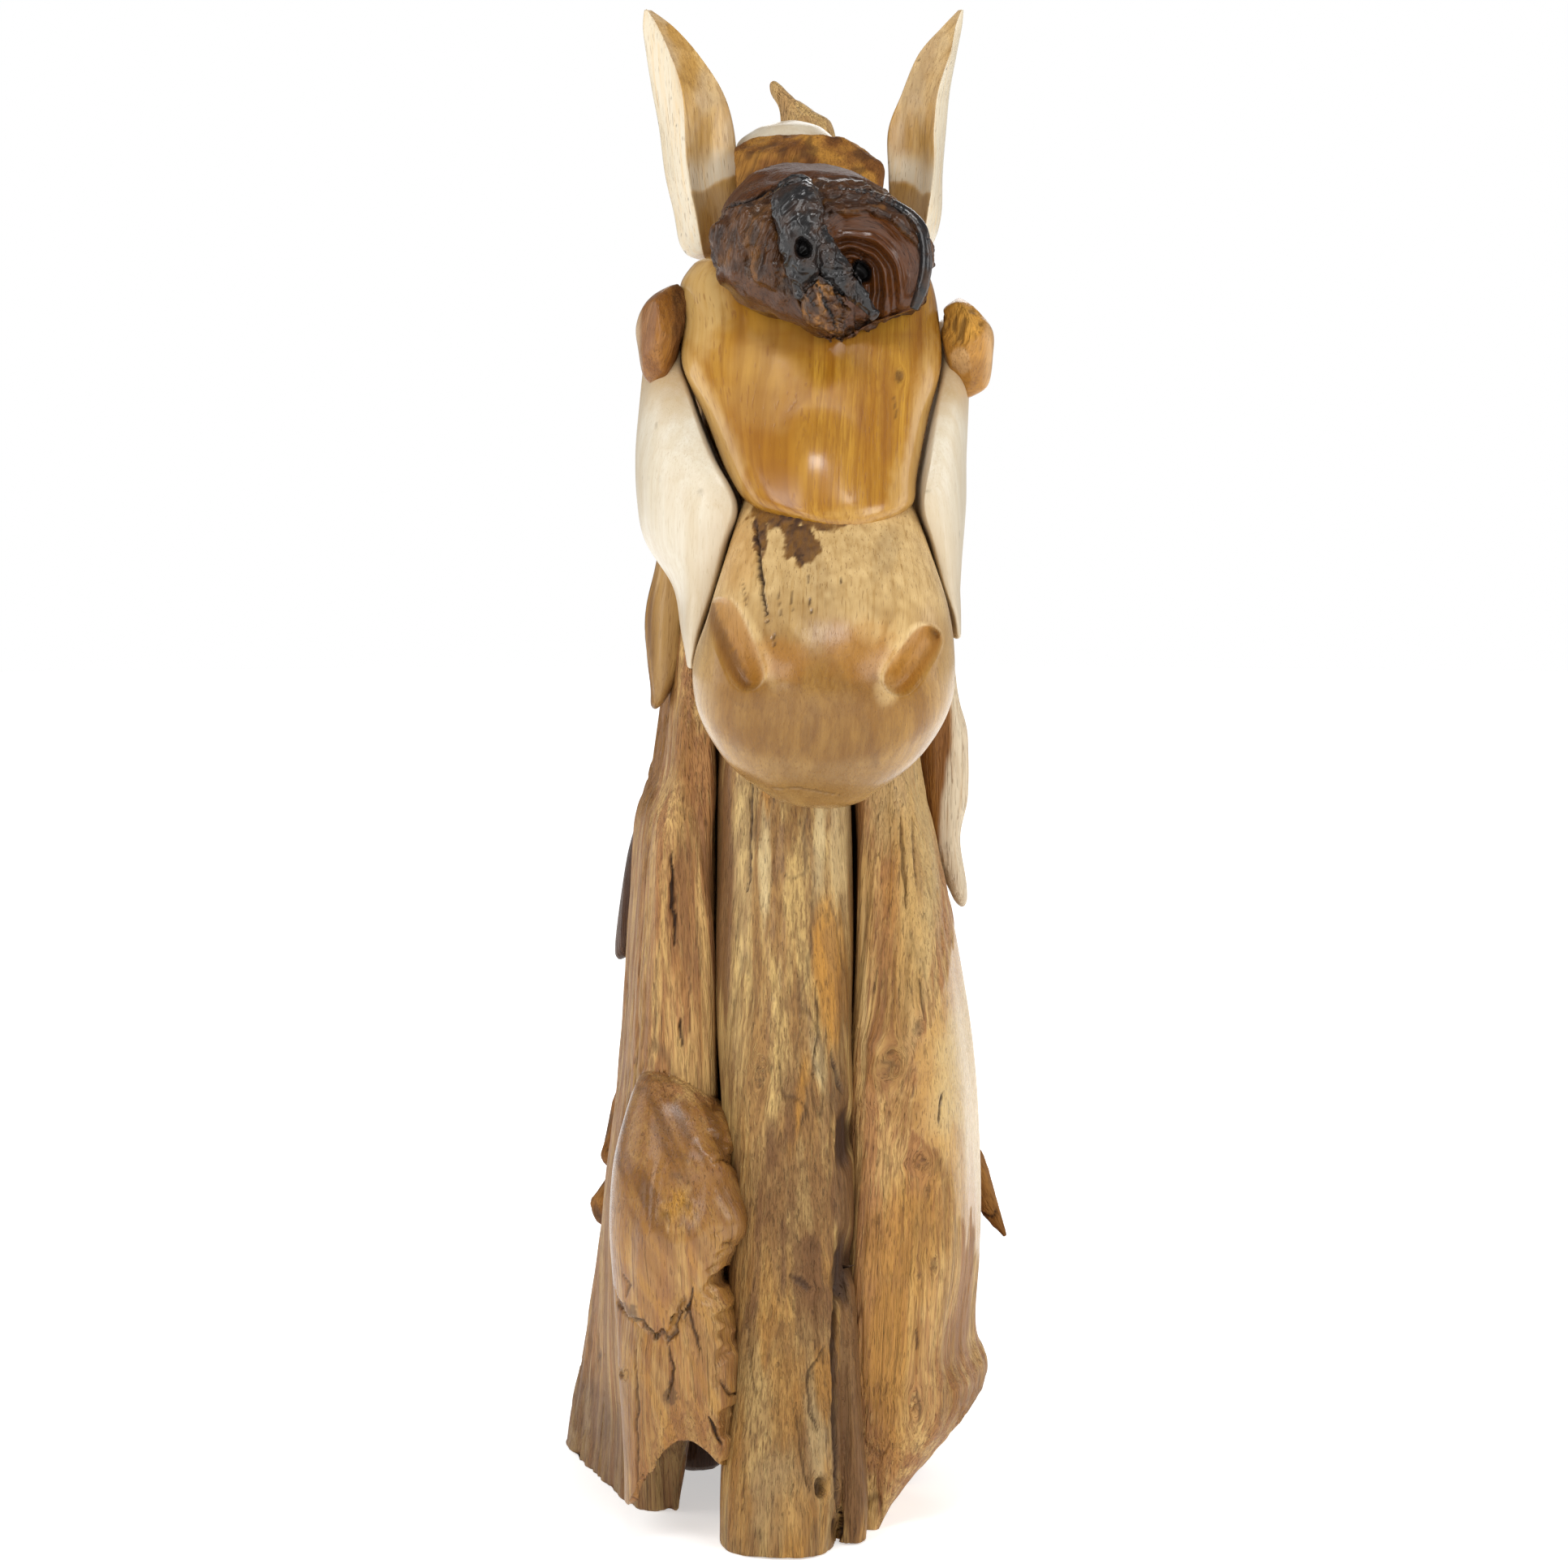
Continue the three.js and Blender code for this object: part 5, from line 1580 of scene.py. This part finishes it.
    # Tones of the right plank
    right_tones: tuple[Patch, ...] = (
        Patch(GOLD, 108, 560, 18, 110, 0.05, 0.4), Patch(PALE, 118, 580, 17, 120, 0.05, 0.95),
        Patch(PALE, 98, 655, 22, 44, 0.0, 0.65), Patch(STAIN_AND_SHADE, 90, 480, 14, 70, -0.1, 0.4),
        Patch(STAIN_AND_SHADE, 93, 420, 20, 24, 0.0, 0.5), Patch(STAIN_AND_SHADE, 103, 382, 14, 14, 0.6, 0.5, 0.9, 0.6),
        Patch(PALE, 70, 470, 3, 80, 0.0, 0.5), Patch(STAIN_AND_SHADE, 122, 336, 10, 14, 0.0, 0.35),
        Patch(GOLD, 112, 270, 30, 60, 0.2, 0.55), Patch(STAIN_AND_SHADE, 136, 285, 12, 44, 0.3, 0.4),
        Patch(GOLD, 92, 170, 22, 90, 0.0, 0.55), Patch(STAIN_AND_SHADE, 152, 150, 10, 60, 0.2, 0.55),
        Patch(STAIN_AND_SHADE, 118, 170, 2.5, 26, 0.05, 0.6), Patch(STAIN_AND_SHADE, 84, 90, 8, 60, 0.0, 0.3))
    # Border of the right plank's sapwood: heights and places in x
    sap_border: tuple[tuple[float, ...], ...] = (
        (0, 190, 220, 251, 274, 317, 345, 367, 388, 409, 426, 442, 456, 490, 540, 640),
        (196, 196, 182, 167, 158, 143, 135, 113, 111, 117, 114, 118, 130, 144, 156, 150))
    throat: Lump = Lump(power=3, low_round=6, cuts=(
        at(730, -118, -112, -50, -8), at(748, -118, -100, -58, 0), at(775, -122, -88, -62, 6),
        at(815, -123, -84, -62, 8), at(850, -116, -82, -62, 6), at(905, -106, -70, -56, 0)))

    def build(self) -> None:
        """Builds and dresses the pieces of the neck."""
        self.add("chest_log", self.dressed_log(), LOG)
        self.add("neck_slab_left", self.dressed_plank_left(), WEATHERED)
        self.add("neck_slab_right", self.dressed_plank_right(), WEATHERED)
        self.add("throat_slab_left", self.dressed_throat(), TAN)

    def dressed_log(self) -> Shell:
        """Mottled round log with a root flange at its foot, a knot hole, hollows and a long crack.

        Returns:
            The finished skin.
        """
        shell = united([self.chest_log.surface(300, 180), self.flange.surface(90, 56)])
        shell.lay_grain((4, -30), (0.0, -0.06), 300, 13)
        carve_all(shell, (
            Knot(32, 62, 6.5, 1.7, 1.0, 0.95, 9.0), Knot(20, 236, 5.0, 0.6, 0.8, 0.8, 1.5),
            Knot(-20, 420, 6, 3.0, 0.6, 0.0)))
        points = shell.points
        shell.weather(2.6, 1.0, 100)
        for x, z, wide, tall, depth in self.hollows:
            ragged = 0.25 * layered(shell.points, (12, 12, 20), 105)
            sunk = smooth(1.15, 0.5, oval(shell.points, x, z, wide, tall) + ragged)
            sunk *= smooth(-70, -95, shell.points[:, 1])
            shell.push(-depth * sunk)
            # Painted shade in the hollows.
            shell.mark(DARK, 0.9 * sunk)
        carve_all(shell, (
            Crack(((-29, 690), (-28, 640), (-31, 576)), 1.4, 4.0, 0.8),
            Crack(((-24, 668), (-24, 610)), 1.2, 1.5, 0.4),
            Crack(((47, 262), (44, 200), (46, 120), (48, 30)), 5.0, 8.0, 0.85),
            Crack(((47, 36), (47, 20), (46, 0)), 6.0, 9.0, 1.0, 0.5),
            Crack(((10, 130), (13, 96), (22, 60)), 1.5, 2.0, 0.5),
            Crack(((-34, 90), (-36, 40)), 1.4, 2.0, 0.5),
            Crack(((28, 500), (30, 455), (24, 420)), 2.0, 3.0, 0.6),
            Crack(((40, 440), (52, 400)), 2.5, 4.0, 0.7),
            Crack(((37, 186), (20, 164), (22, 130), (32, 111)), 2.0, 2.5, 0.7, 2.0),
            Crack(((5, 247), (13, 243), (22, 238)), 4.5, 2.0, 0.7, 2.0)))
        z = points[:, 2]
        shell.furrow(2.0, smooth(560, 430, z), 103, (24, 260), 0.05, 0.5)
        shell.furrow(1.6, smooth(680, 520, z), 107, (15, 260), 0.22, 0.25)
        carve_all(shell, [Crack(path, 2.2, 0.4, 0.4, 3.0) for path in self.spalt])
        carve_all(shell, self.log_tones_shade_highlights)
        shell.mark(STAIN_AND_SHADE, 0.35 * smooth(0.15, 0.5, layered(shell.grain, (16, 16, 40), 104)))
        flame = layered(shell.grain, (17, 17, 110), 128)
        above_foot = 0.4 + 0.6 * smooth(150, 240, z)
        shell.mark(STAIN_AND_SHADE, 0.9 * smooth(490, 360, z) * smooth(0.35, -0.15, flame) * above_foot)
        shell.mark(GOLD, 0.4 * smooth(320, 180, z) * smooth(-0.1, 0.3, flame))
        shell.mark(RAW, 0.35 + 0.4 * smooth(600, 300, z))
        return shell

    def dressed_plank_left(self) -> Shell:
        """Striated plank with a polished burl over its foot, its skin broken along a ledge, and painted shade
        on the foot under the burl.

        Returns:
            The finished skin.
        """
        burl = self.burl.surface(190, 165)
        self.lift_hem(burl)
        shell = united([self.plank_left.surface(300, 180), burl])
        shell.lay_grain((-60, -40), (-0.04, -0.05), 400, 14)
        carve_all(shell, (Knot(-143, 151, 3.6, 1.2, 0.5, 0.9, 5.0),))
        points = shell.points
        z = points[:, 2]
        on_burl = smooth(1.35, 1.05, self.burl.depth(points)) * smooth(425, 400, z)
        on_burl *= smooth(-30, -60, points[:, 1])
        shell.weather(2.2, 0.0, 110)
        plank = 1 - on_burl
        shell.push(plank * 2.2 * layered(shell.grain, (13, 13, 180), 111, 2))
        shell.furrow(2.2, plank, 108, (15, 300), 0.25, 0.30)
        ragged = smooth(0.15, 0.6, shell.normals()[:, 0]) * on_burl * smooth(-95, -115, points[:, 1])
        shell.push(-6.5 * ragged * smooth(0.0, 0.45, layered(points, (40, 40, 15), 112, 3)))
        shell.push(on_burl * 2.0 * layered(points, (60, 60, 80), 109, 1))
        for x, z_mid, wide, tall, lean, rise in self.swells:
            shell.push(rise * on_burl * smooth(1.0, 0.0, oval(shell.points, x, z_mid, wide, tall, lean)))
        drop = self.break_skin(shell, on_burl)
        carve_all(shell, (
            Crack(((-98, 609), (-97, 570), (-96, 528)), 3.0, 6.0), Crack(((-91, 465), (-91, 437)), 2.6, 5.0),
            Crack(((-76, 560), (-75, 500)), 1.5, 2.0, 0.5), Crack(((-84, 500), (-83, 450)), 1.5, 2.0, 0.5),
            Crack(((-112, 520), (-114, 430)), 1.6, 2.0, 0.5),
            Crack(((-101, 188), (-95, 165), (-99, 138)), 2.0, 4.0, 0.7, 4.0),
            Crack(((-83, 222), (-77, 197), (-71, 180)), 2.0, 3.0, 0.8),
            Crack(((-65, 122), (-53, 94)), 3.0, 4.0),
            Crack(((-129, 186), (-128, 123), (-129, 77), (-127, 50)), 1.6, 3.0, 0.7),
            Crack(((-86, 208), (-78, 238)), 2.0, 3.0, 0.8),
            Crack(((-142, 246), (-134, 236), (-138, 224)), 1.4, 1.5, 0.6),
            Crack(((-56, 155), (-47, 140), (-34, 138)), 2.0, 4.0, 0.6),
            Crack(((-144, 214), (-134, 205), (-123, 207), (-117, 196), (-112, 190), (-107, 199), (-99, 190),
                   (-93, 197), (-92, 210), (-82, 224)), 2.6, 4.0, 0.7, 7.0)))
        shell.furrow(2.0, plank, 113, (26, 360), 0.05, 0.5)
        carve_all(shell, self.left_tones_and_highlights)
        gold = smooth(1.3, 0.3, oval(points, -93, 308, 15, 19, 0.2) + 0.6 * layered(points, (9, 9, 9), 115))
        shell.mark(GOLD, 0.95 * gold * on_burl)
        sweep = layered(np.column_stack((points[:, 0] + 0.5 * z, points[:, 1], z)), (9, 30, 70), 106, 3)
        shell.mark(GOLD, 0.5 * on_burl * smooth(0.0, 0.4, sweep))
        brown = 0.35 + 0.3 * smooth(0.2, -0.3, sweep) + 0.35 * smooth(250, 310, z)
        shell.mark(STAIN_AND_SHADE, on_burl * (1 - gold) * brown)
        dusk = 0.10 + 0.3 * smooth(0.15, 0.5, -sweep)
        shell.mark(DARK, on_burl * (1 - drop) * smooth(250, 320, z) * dusk)
        shell.wrinkle(2.2, gold * on_burl, 9, 116)
        side = smooth(-112, -124, points[:, 0] + 4 * layered(points, (20, 20, 60), 117)) * plank
        streak = layered(shell.grain, (9, 9, 160), 118)
        shell.mark(STAIN_AND_SHADE, side * (0.25 + 0.6 * smooth(0.05, -0.4, streak)))
        border = np.interp(z, (560, 640, 670, 740, 900), (-136, -119, -112, -96, -80))
        sap = smooth(2, -2, points[:, 0] - border + 4 * streak) * plank * smooth(560, 660, z)
        shell.clear(STAIN_AND_SHADE, sap)
        shell.mark(STAIN_AND_SHADE, 0.90 * sap)
        shell.mark(RAW, 0.75 * plank + 0.4 * drop + 0.5 * gold)
        # Painted shade on the foot, under the burl's overhang.
        foot = smooth(110, 60, z) * smooth(-75, -55, points[:, 1])
        shell.mark(DARK, 0.45 * foot)
        return shell

    def lift_hem(self, burl: Shell) -> None:
        """Lifts the burl's lower end to its hem; heights up to the third cut close up evenly above it.

        Args:
            burl: Skin of the burl.
        """
        places = np.linspace(0, len(self.hem) - 1, 200)
        hem_x, hem_z = through(np.array(self.hem, dtype=float), places).T
        floor, ceiling = self.burl.cuts[0][0], self.burl.cuts[2][0]
        hem = np.interp(burl.points[:, 0], hem_x, hem_z)
        share = np.clip((burl.points[:, 2] - floor) / (ceiling - floor), 0.0, 1.0)
        low = burl.points[:, 2] < ceiling
        burl.points[:, 2] = np.where(low, hem + share * (ceiling - hem), burl.points[:, 2])

    def break_skin(self, shell: Shell, on_burl: Array) -> Array:
        """Drops the burl's face below its broken ledge, deepest at the ledge.

        Args:
            shell: Skin of the plank.
            on_burl: Where the burl is.

        Returns:
            How far each point is below the ledge, from 0 to 1.
        """
        ledge = np.array(self.ledge)
        jag = 6.0 * layered(shell.points, (11, 11, 11), 119, 3)
        edge = np.interp(shell.points[:, 0], ledge[:, 0], ledge[:, 1]) + jag
        below = edge - shell.points[:, 2]
        inside = smooth(-156, -148, shell.points[:, 0]) * smooth(-78, -92, shell.points[:, 0])
        front = shell.facing() * on_burl
        drop = smooth(-1.0, 2.5, below) * smooth(-30, -110, shell.points[:, 0])
        shell.push(-9.0 * drop * np.exp(-np.maximum(below, 0.0) / 45.0) * front * inside)
        return smooth(0.0, 30.0, below) * on_burl

    def dressed_plank_right(self) -> Shell:
        """Plank with brown striped heart on the left, smooth sapwood on the right and several knots.

        Returns:
            The finished skin.
        """
        shell = self.plank_right.surface(330, 200)
        shell.lay_grain((40, 10), (0.05, -0.04), 400, 15)
        carve_all(shell, (
            Knot(118, 455, 5, 1.6, 1.6, 0.65), Knot(93, 424, 13, 1.2, 2.6, 0.20),
            Knot(131, 245, 4, 2.0, 0.6, 0.7),
            Knot(118, 236, 2.5, 1.6, 0.4, 0.5), Knot(121, 336, 7, 1.3, 1.2, 0.20),
            Knot(116, 122, 6, 2.2, 2.0, 0.15)))
        points = shell.points
        z = points[:, 2]
        cloud = layered(points, (24, 24, 60), 120)
        stripes = layered(shell.grain, (9, 9, 120), 126)
        level = z + 40 * cloud * smooth(120, 160, points[:, 0])
        past = points[:, 0] - np.interp(level, *self.sap_border) + 3 * cloud
        past += 7 * stripes * smooth(365, 320, z)
        sap = smooth(-2, 2 + 4 * smooth(365, 330, z), past) * smooth(190, 240, z)
        heart = 1 - sap
        shell.weather(2.4, 0.0, 121)
        shell.push(heart * 2.0 * layered(shell.grain, (12, 12, 150), 122, 2))
        shell.furrow(2.0, heart, 123, (26, 300), 0.05, 0.5)
        shell.furrow(1.8, heart * smooth(180, 300, z), 127, (14, 240), 0.25, 0.28)
        carve_all(shell, (
            Crack(((138, 398), (136, 366)), 1.6, 2.5),
            Crack(((102, 640), (104, 600), (108, 560)), 3.0, 3.5, 0.5),
            Crack(((112, 640), (116, 580)), 2.2, 3.0, 0.5), Crack(((118, 500), (124, 462)), 2.2, 3.0, 0.6),
            Crack(((115, 190), (117, 170)), 2.2, 1.5, 0.7), Crack(((118, 135), (120, 100)), 2.0, 1.5, 0.6),
            Crack(((70, 40), (76, 20)), 2.0, 2.0, 0.6)))
        live = smooth(140, 100, z) * smooth(146, 160, points[:, 0])
        shell.wrinkle(3.0, live, 14, 124)
        shell.mark(PALE, sap * (0.45 + 0.45 * smooth(8, 34, past)))
        carve_all(shell, self.right_tones)
        shell.mark(GOLD, 0.4 * sap * smooth(30, 6, past))
        shell.mark(STAIN_AND_SHADE, 0.35 * heart * smooth(0.1, 0.5, layered(points, (26, 26, 90), 125)))
        shell.mark(STAIN_AND_SHADE, 0.7 * live)
        shell.mark(RAW, 0.12 + 0.6 * heart)
        return shell

    def dressed_throat(self) -> Shell:
        """Small polished slab beside the throat with bark along its outer edge.

        Returns:
            The finished skin.
        """
        shell = self.throat.surface(90, 72)
        shell.lay_grain((-40, 60), (0.1, 0.0), 800, 16)
        shell.weather(1.6, 0.5, 130)
        stripe = layered(shell.grain, (7, 7, 70), 131)
        bark = smooth(-108, -119, shell.points[:, 0] + 4 * stripe)
        shell.push(2.0 * bark * stripe)
        shell.mark(PALE, 0.3 * (1 - bark))
        shell.mark(STAIN_AND_SHADE, 0.8 * bark * smooth(-0.2, 0.3, stripe))
        shell.mark(RAW, 0.6 * bark)
        return shell


# Mane and back


@dataclass
class Mane(SubAssembly):
    """Slivers and crooked roots that stick out behind the planks."""

    sliver_right: Lump = Lump(low_round=6, top_round=16, cuts=(
        at(543, 160, 167, 36, 56), at(562, 150, 167, 26, 66), at(605, 134, 161, 24, 72),
        at(645, 124, 168, 24, 76), at(700, 118, 168, 22, 76), at(745, 112, 158, 18, 74),
        at(830, 104, 149, 14, 68), at(905, 92, 134, 8, 60)))
    sliver_left: Lump = Lump(low_round=6, top_round=16, cuts=(
        at(478, -160, -152, 156, 172), at(500, -159, -132, 144, 190), at(560, -150, -110, 138, 190),
        at(620, -136, -92, 124, 184), at(740, -100, -62, 100, 168)))
    roots: tuple[tuple[str, Root], ...] = (
        ("mane_root_upper_left", Root(((-34, 296, 492), (-84, 262, 404), (-130, 226, 334), (-158, 202, 278)),
                                      (20, 32, 32, 20))),
        ("mane_root_lower_left", Root(((-40, 313, 322), (-96, 276, 276), (-142, 238, 246), (-170, 212, 226)),
                                      (18, 29, 29, 20))),
        ("mane_root_right", Root(((46, 288, 452), (108, 240, 366), (168, 188, 284), (210, 142, 216)),
                                 (22, 31, 22, 3))))

    def build(self) -> None:
        """Builds and dresses the slivers and roots."""
        self.add("mane_sliver_right", self.dressed_sliver_right(), BROWN)
        self.add("mane_sliver_left", self.dressed_sliver(self.sliver_left, 18), BURL)
        for seed, (name, form) in enumerate(self.roots, start=19):
            self.add(name, self.dressed_root(form, seed), BROWN)

    def dressed_sliver_right(self) -> Shell:
        """Sliver that is dark brown on its inner face, partly as painted shade beside the plank, and cream on
        its outer face.

        Returns:
            The finished skin.
        """
        shell = self.dressed_sliver(self.sliver_right, 17)
        heights = (543, 600, 650, 700, 740, 790, 905)
        edge = np.interp(shell.points[:, 2], heights, (148, 142, 146, 152, 150, 152, 150))
        sway = 4 * layered(shell.points, (16, 16, 60), 140)
        # Cream outer part; the inner part keeps the dark brown finish, partly as painted shade beside the
        # plank.
        shell.mark(PALE, 0.95 * smooth(-3, 4, shell.points[:, 0] - edge + sway))
        return shell

    def dressed_sliver(self, form: Lump, seed: int) -> Shell:
        """A split sliver with raised fibres.

        Args:
            form: The sliver's lump.
            seed: Tells one sliver from the other.

        Returns:
            The finished skin.
        """
        shell = form.surface(130, 60)
        shell.lay_grain((form.cuts[3][1], 120), (0.0, 0.0), 600, seed)
        shell.weather(2.0, 1.0, 140 + seed)
        shell.furrow(2.0, 1.0, 150 + seed, (18, 160))
        shell.mark(RAW, np.full(len(shell.points), 0.6))
        return shell

    def dressed_root(self, form: Root, seed: int) -> Shell:
        """A crooked root with a creased skin, its grain along its path.

        Args:
            form: The root's path and radii.
            seed: Tells one root from the others.

        Returns:
            The finished skin.
        """
        shell = form.surface(100, 52)
        first, last = np.array(form.path[0]), np.array(form.path[-1])
        axis = (last - first) / np.linalg.norm(last - first)
        offset = shell.points - first
        along = offset @ axis
        shell.grain = offset - along[:, None] * axis
        shell.grain[:, 2] = along + 911.0 * seed
        shell.weather(3.0, 1.0, 160 + seed)
        shell.wrinkle(1.8, 1.0, 20, 170 + seed)
        shell.furrow(2.5, 1.0, 180 + seed, (20, 130))
        shell.mark(RAW, np.ones(len(shell.points)))
        return shell


@dataclass
class Back(SubAssembly):
    """Logs that close the neck behind and carry the head."""

    log_left: Lump = Lump(power=2.8, low_round=14, top_round=20, cuts=(
        at(0, -102, -54, 70, 178), at(40, -106, -52, 66, 190), at(250, -98, -40, 70, 204),
        at(480, -88, -30, 72, 198), at(700, -92, -30, 60, 172), at(850, -92, -34, 30, 140)))
    log_right: Lump = Lump(power=2.8, top_round=20, cuts=(
        at(0, 74, 128, 66, 204), at(200, 76, 142, 62, 206), at(400, 72, 146, 56, 202),
        at(600, 64, 128, 46, 180), at(760, 60, 116, 36, 152), at(880, 56, 108, 26, 128)))
    crest: Lump = Lump(power=2.6, top_round=14, cuts=(
        at(0, -74, 86, 192, 330), at(160, -78, 90, 180, 328), at(360, -80, 92, 156, 318),
        at(600, -82, 96, 116, 290), at(800, -86, 104, 60, 252), at(960, -88, 112, -20, 206),
        at(1080, -72, 106, -60, 158), at(1170, -48, 90, -70, 110), at(1214, -24, 62, -50, 84)))

    def build(self) -> None:
        """Builds and dresses the logs."""
        self.add("back_log_left", self.dressed_log(self.log_left, 22, 120, 84), BURL)
        self.add("back_log_right", self.dressed_log(self.log_right, 23, 120, 84), BROWN)
        self.add("crest_log", self.dressed_log(self.crest, 24, 190, 130), WEATHERED)

    def dressed_log(self, form: Lump, seed: int, rows: int, sides: int) -> Shell:
        """A weathered log with swells, fibres, long cracks and paler and darker clouds. A
        weathered log with swells, fibres, long cracks and a few knots' worth of shade.

        Args:
            form: The log's lump.
            seed: Tells one log from the others.
            rows: Rows from the bottom to the top.
            sides: Columns around.

        Returns:
            The finished skin.
        """
        shell = form.surface(rows, sides)
        middle = form.cuts[2]
        shell.lay_grain((middle[5], middle[6]), (0.0, -0.1), 400, seed)
        shell.weather(3.2, 1.4, 190 + seed)
        shell.furrow(3.5, 1.0, 200 + seed, (36, 320))
        cloud = layered(shell.grain, (40, 40, 120), 210 + seed)
        shell.mark(PALE, 0.5 * smooth(0.15, 0.6, cloud))
        shell.mark(STAIN_AND_SHADE, 0.5 * smooth(-0.15, -0.6, cloud))
        shell.mark(RAW, np.full(len(shell.points), 0.75))
        return shell


# Studio


@dataclass
class SoftBox:
    """A square lamp that looks at a point."""

    name: str
    place: tuple[float, float, float]
    target: tuple[float, float, float]
    side: float
    watts: float

    def build(self) -> None:
        """Adds the lamp."""
        lamp = bpy.data.lights.new(self.name, "AREA")
        lamp.shape = "SQUARE"
        lamp.size = self.side
        lamp.energy = self.watts
        holder = bpy.data.objects.new(self.name, lamp)
        holder.location = self.place
        holder.visible_camera = False
        look = Vector(self.target) - Vector(self.place)
        holder.rotation_euler = look.to_track_quat("-Z", "Y").to_euler()
        bpy.context.scene.collection.objects.link(holder)


@dataclass
class Studio:
    """Pale floor, soft boxes, white surroundings and the camera."""

    camera_place: tuple[float, float, float] = (0.0, -3.395, 0.950)
    camera_tilt: float = 4.9
    focal_length: float = 86.6
    sensor: float = 36.0
    floor_radius: float = 14.0
    floor_colour: Colour = (0.90, 0.90, 0.89)
    floor_glow: Spot = (0.5, 1.0)
    glow_reach: Spot = (0.6, 2.6)
    surround: float = 0.30
    backdrop: float = 1.0
    boxes: tuple[SoftBox, ...] = (
        SoftBox("front_left", (-1.7, -2.6, 2.1), (0.0, -0.1, 0.8), 1.6, 37.0),
        SoftBox("front_right", (1.9, -2.5, 1.9), (0.0, -0.1, 0.7), 1.5, 35.0),
        SoftBox("overhead", (0.06, -1.6, 2.75), (0.0, -0.2, 0.8), 0.55, 14.0),
        SoftBox("low_left", (-1.1, -2.6, 0.7), (-0.1, -0.2, 0.35), 0.5, 4.0),
        SoftBox("side_left", (-2.3, 0.1, 1.4), (0.0, 0.0, 0.9), 1.6, 15.0),
        SoftBox("side_right", (2.3, 0.1, 1.4), (0.0, 0.0, 0.9), 1.6, 15.0),
        SoftBox("behind", (0.4, 2.4, 2.4), (0.0, 0.2, 0.8), 1.6, 24.0),
    )

    def build(self) -> None:
        """Builds the floor, the light and the camera."""
        self.build_floor()
        self.build_surround()
        for box in self.boxes:
            box.build()
        self.build_camera()
        bpy.context.scene.view_settings.view_transform = "Standard"

    def build_floor(self) -> None:
        """A round floor: rings whose radius grows with the square of their count, at height zero."""
        turn = np.arange(96) / 96 * 2 * math.pi
        reach = np.linspace(0.0, 1.0, 12)[1:, None] ** 2 * self.floor_radius
        x, y = reach * np.cos(turn), reach * np.sin(turn)
        points = np.concatenate([np.stack([x, y, 0.0 * x], axis=-1).reshape(-1, 3), [[0.0, 0.0, 0.0]]])
        here = np.arange(x.size).reshape(x.shape)
        there = np.roll(here, -1, axis=1)
        quads = np.stack([here[:-1], here[1:], there[1:], there[:-1]], axis=-1).reshape(-1, 4)
        middle = np.stack([np.full(len(turn), x.size), here[0], there[0]], axis=-1)
        mesh = bpy.data.meshes.new("floor")
        mesh.from_pydata(points.tolist(), [], quads.tolist() + middle.tolist())
        mesh.update()
        paper = bpy.data.materials.new("floor_paper")
        paper.use_nodes = True
        graph = Graph(paper.node_tree)
        place = graph.value("ShaderNodeTexCoord", None, None, "Object")
        away = graph.value("ShaderNodeVectorMath", {"operation": "LENGTH"}, {0: place}, "Value")
        near, far = ((grey, grey, grey) for grey in self.floor_glow)
        glow = graph.mix(near, far, away.step(*self.glow_reach))
        shader = graph.node("ShaderNodeBsdfPrincipled", None,
                            {"Base Color": paint(self.floor_colour), "Roughness": 0.85,
                             "Emission Color": glow, "Emission Strength": 1.0})
        graph.node("ShaderNodeOutputMaterial", None, {"Surface": shader.outputs[0]})
        mesh.materials.append(paper)
        floor = bpy.data.objects.new("floor", mesh)
        bpy.context.scene.collection.objects.link(floor)

    def build_surround(self) -> None:
        """White surroundings that light the wood less than they show."""
        world = bpy.data.worlds.new("studio")
        bpy.context.scene.world = world
        world.use_nodes = True
        graph = Graph(world.node_tree)
        seen = graph.value("ShaderNodeLightPath", None, None, "Is Camera Ray")
        lit, shown = (
            graph.node("ShaderNodeBackground", None, {"Color": (1.0, 1.0, 1.0, 1.0), "Strength": strength})
            for strength in (self.surround, self.backdrop))
        both = graph.node("ShaderNodeMixShader", None, {0: seen, 1: lit.outputs[0], 2: shown.outputs[0]})
        graph.node("ShaderNodeOutputWorld", None, {"Surface": both.outputs[0]})

    def build_camera(self) -> None:
        """A long lens a little above the middle of the sculpture, tilted down."""
        lens = bpy.data.cameras.new("camera")
        lens.lens = self.focal_length
        lens.sensor_width = self.sensor
        camera = bpy.data.objects.new("camera", lens)
        camera.location = self.camera_place
        camera.rotation_euler = (math.radians(90.0 - self.camera_tilt), 0.0, 0.0)
        bpy.context.scene.collection.objects.link(camera)
        bpy.context.scene.camera = camera


def main() -> None:
    """Builds the studio and the sculpture."""
    logging.basicConfig(level=logging.INFO, format="%(message)s")
    Studio().build()
    for assembly in (Face(), Crown(), Neck(), Mane(), Back()):
        assembly.build()


if __name__ == "__main__":
    main()
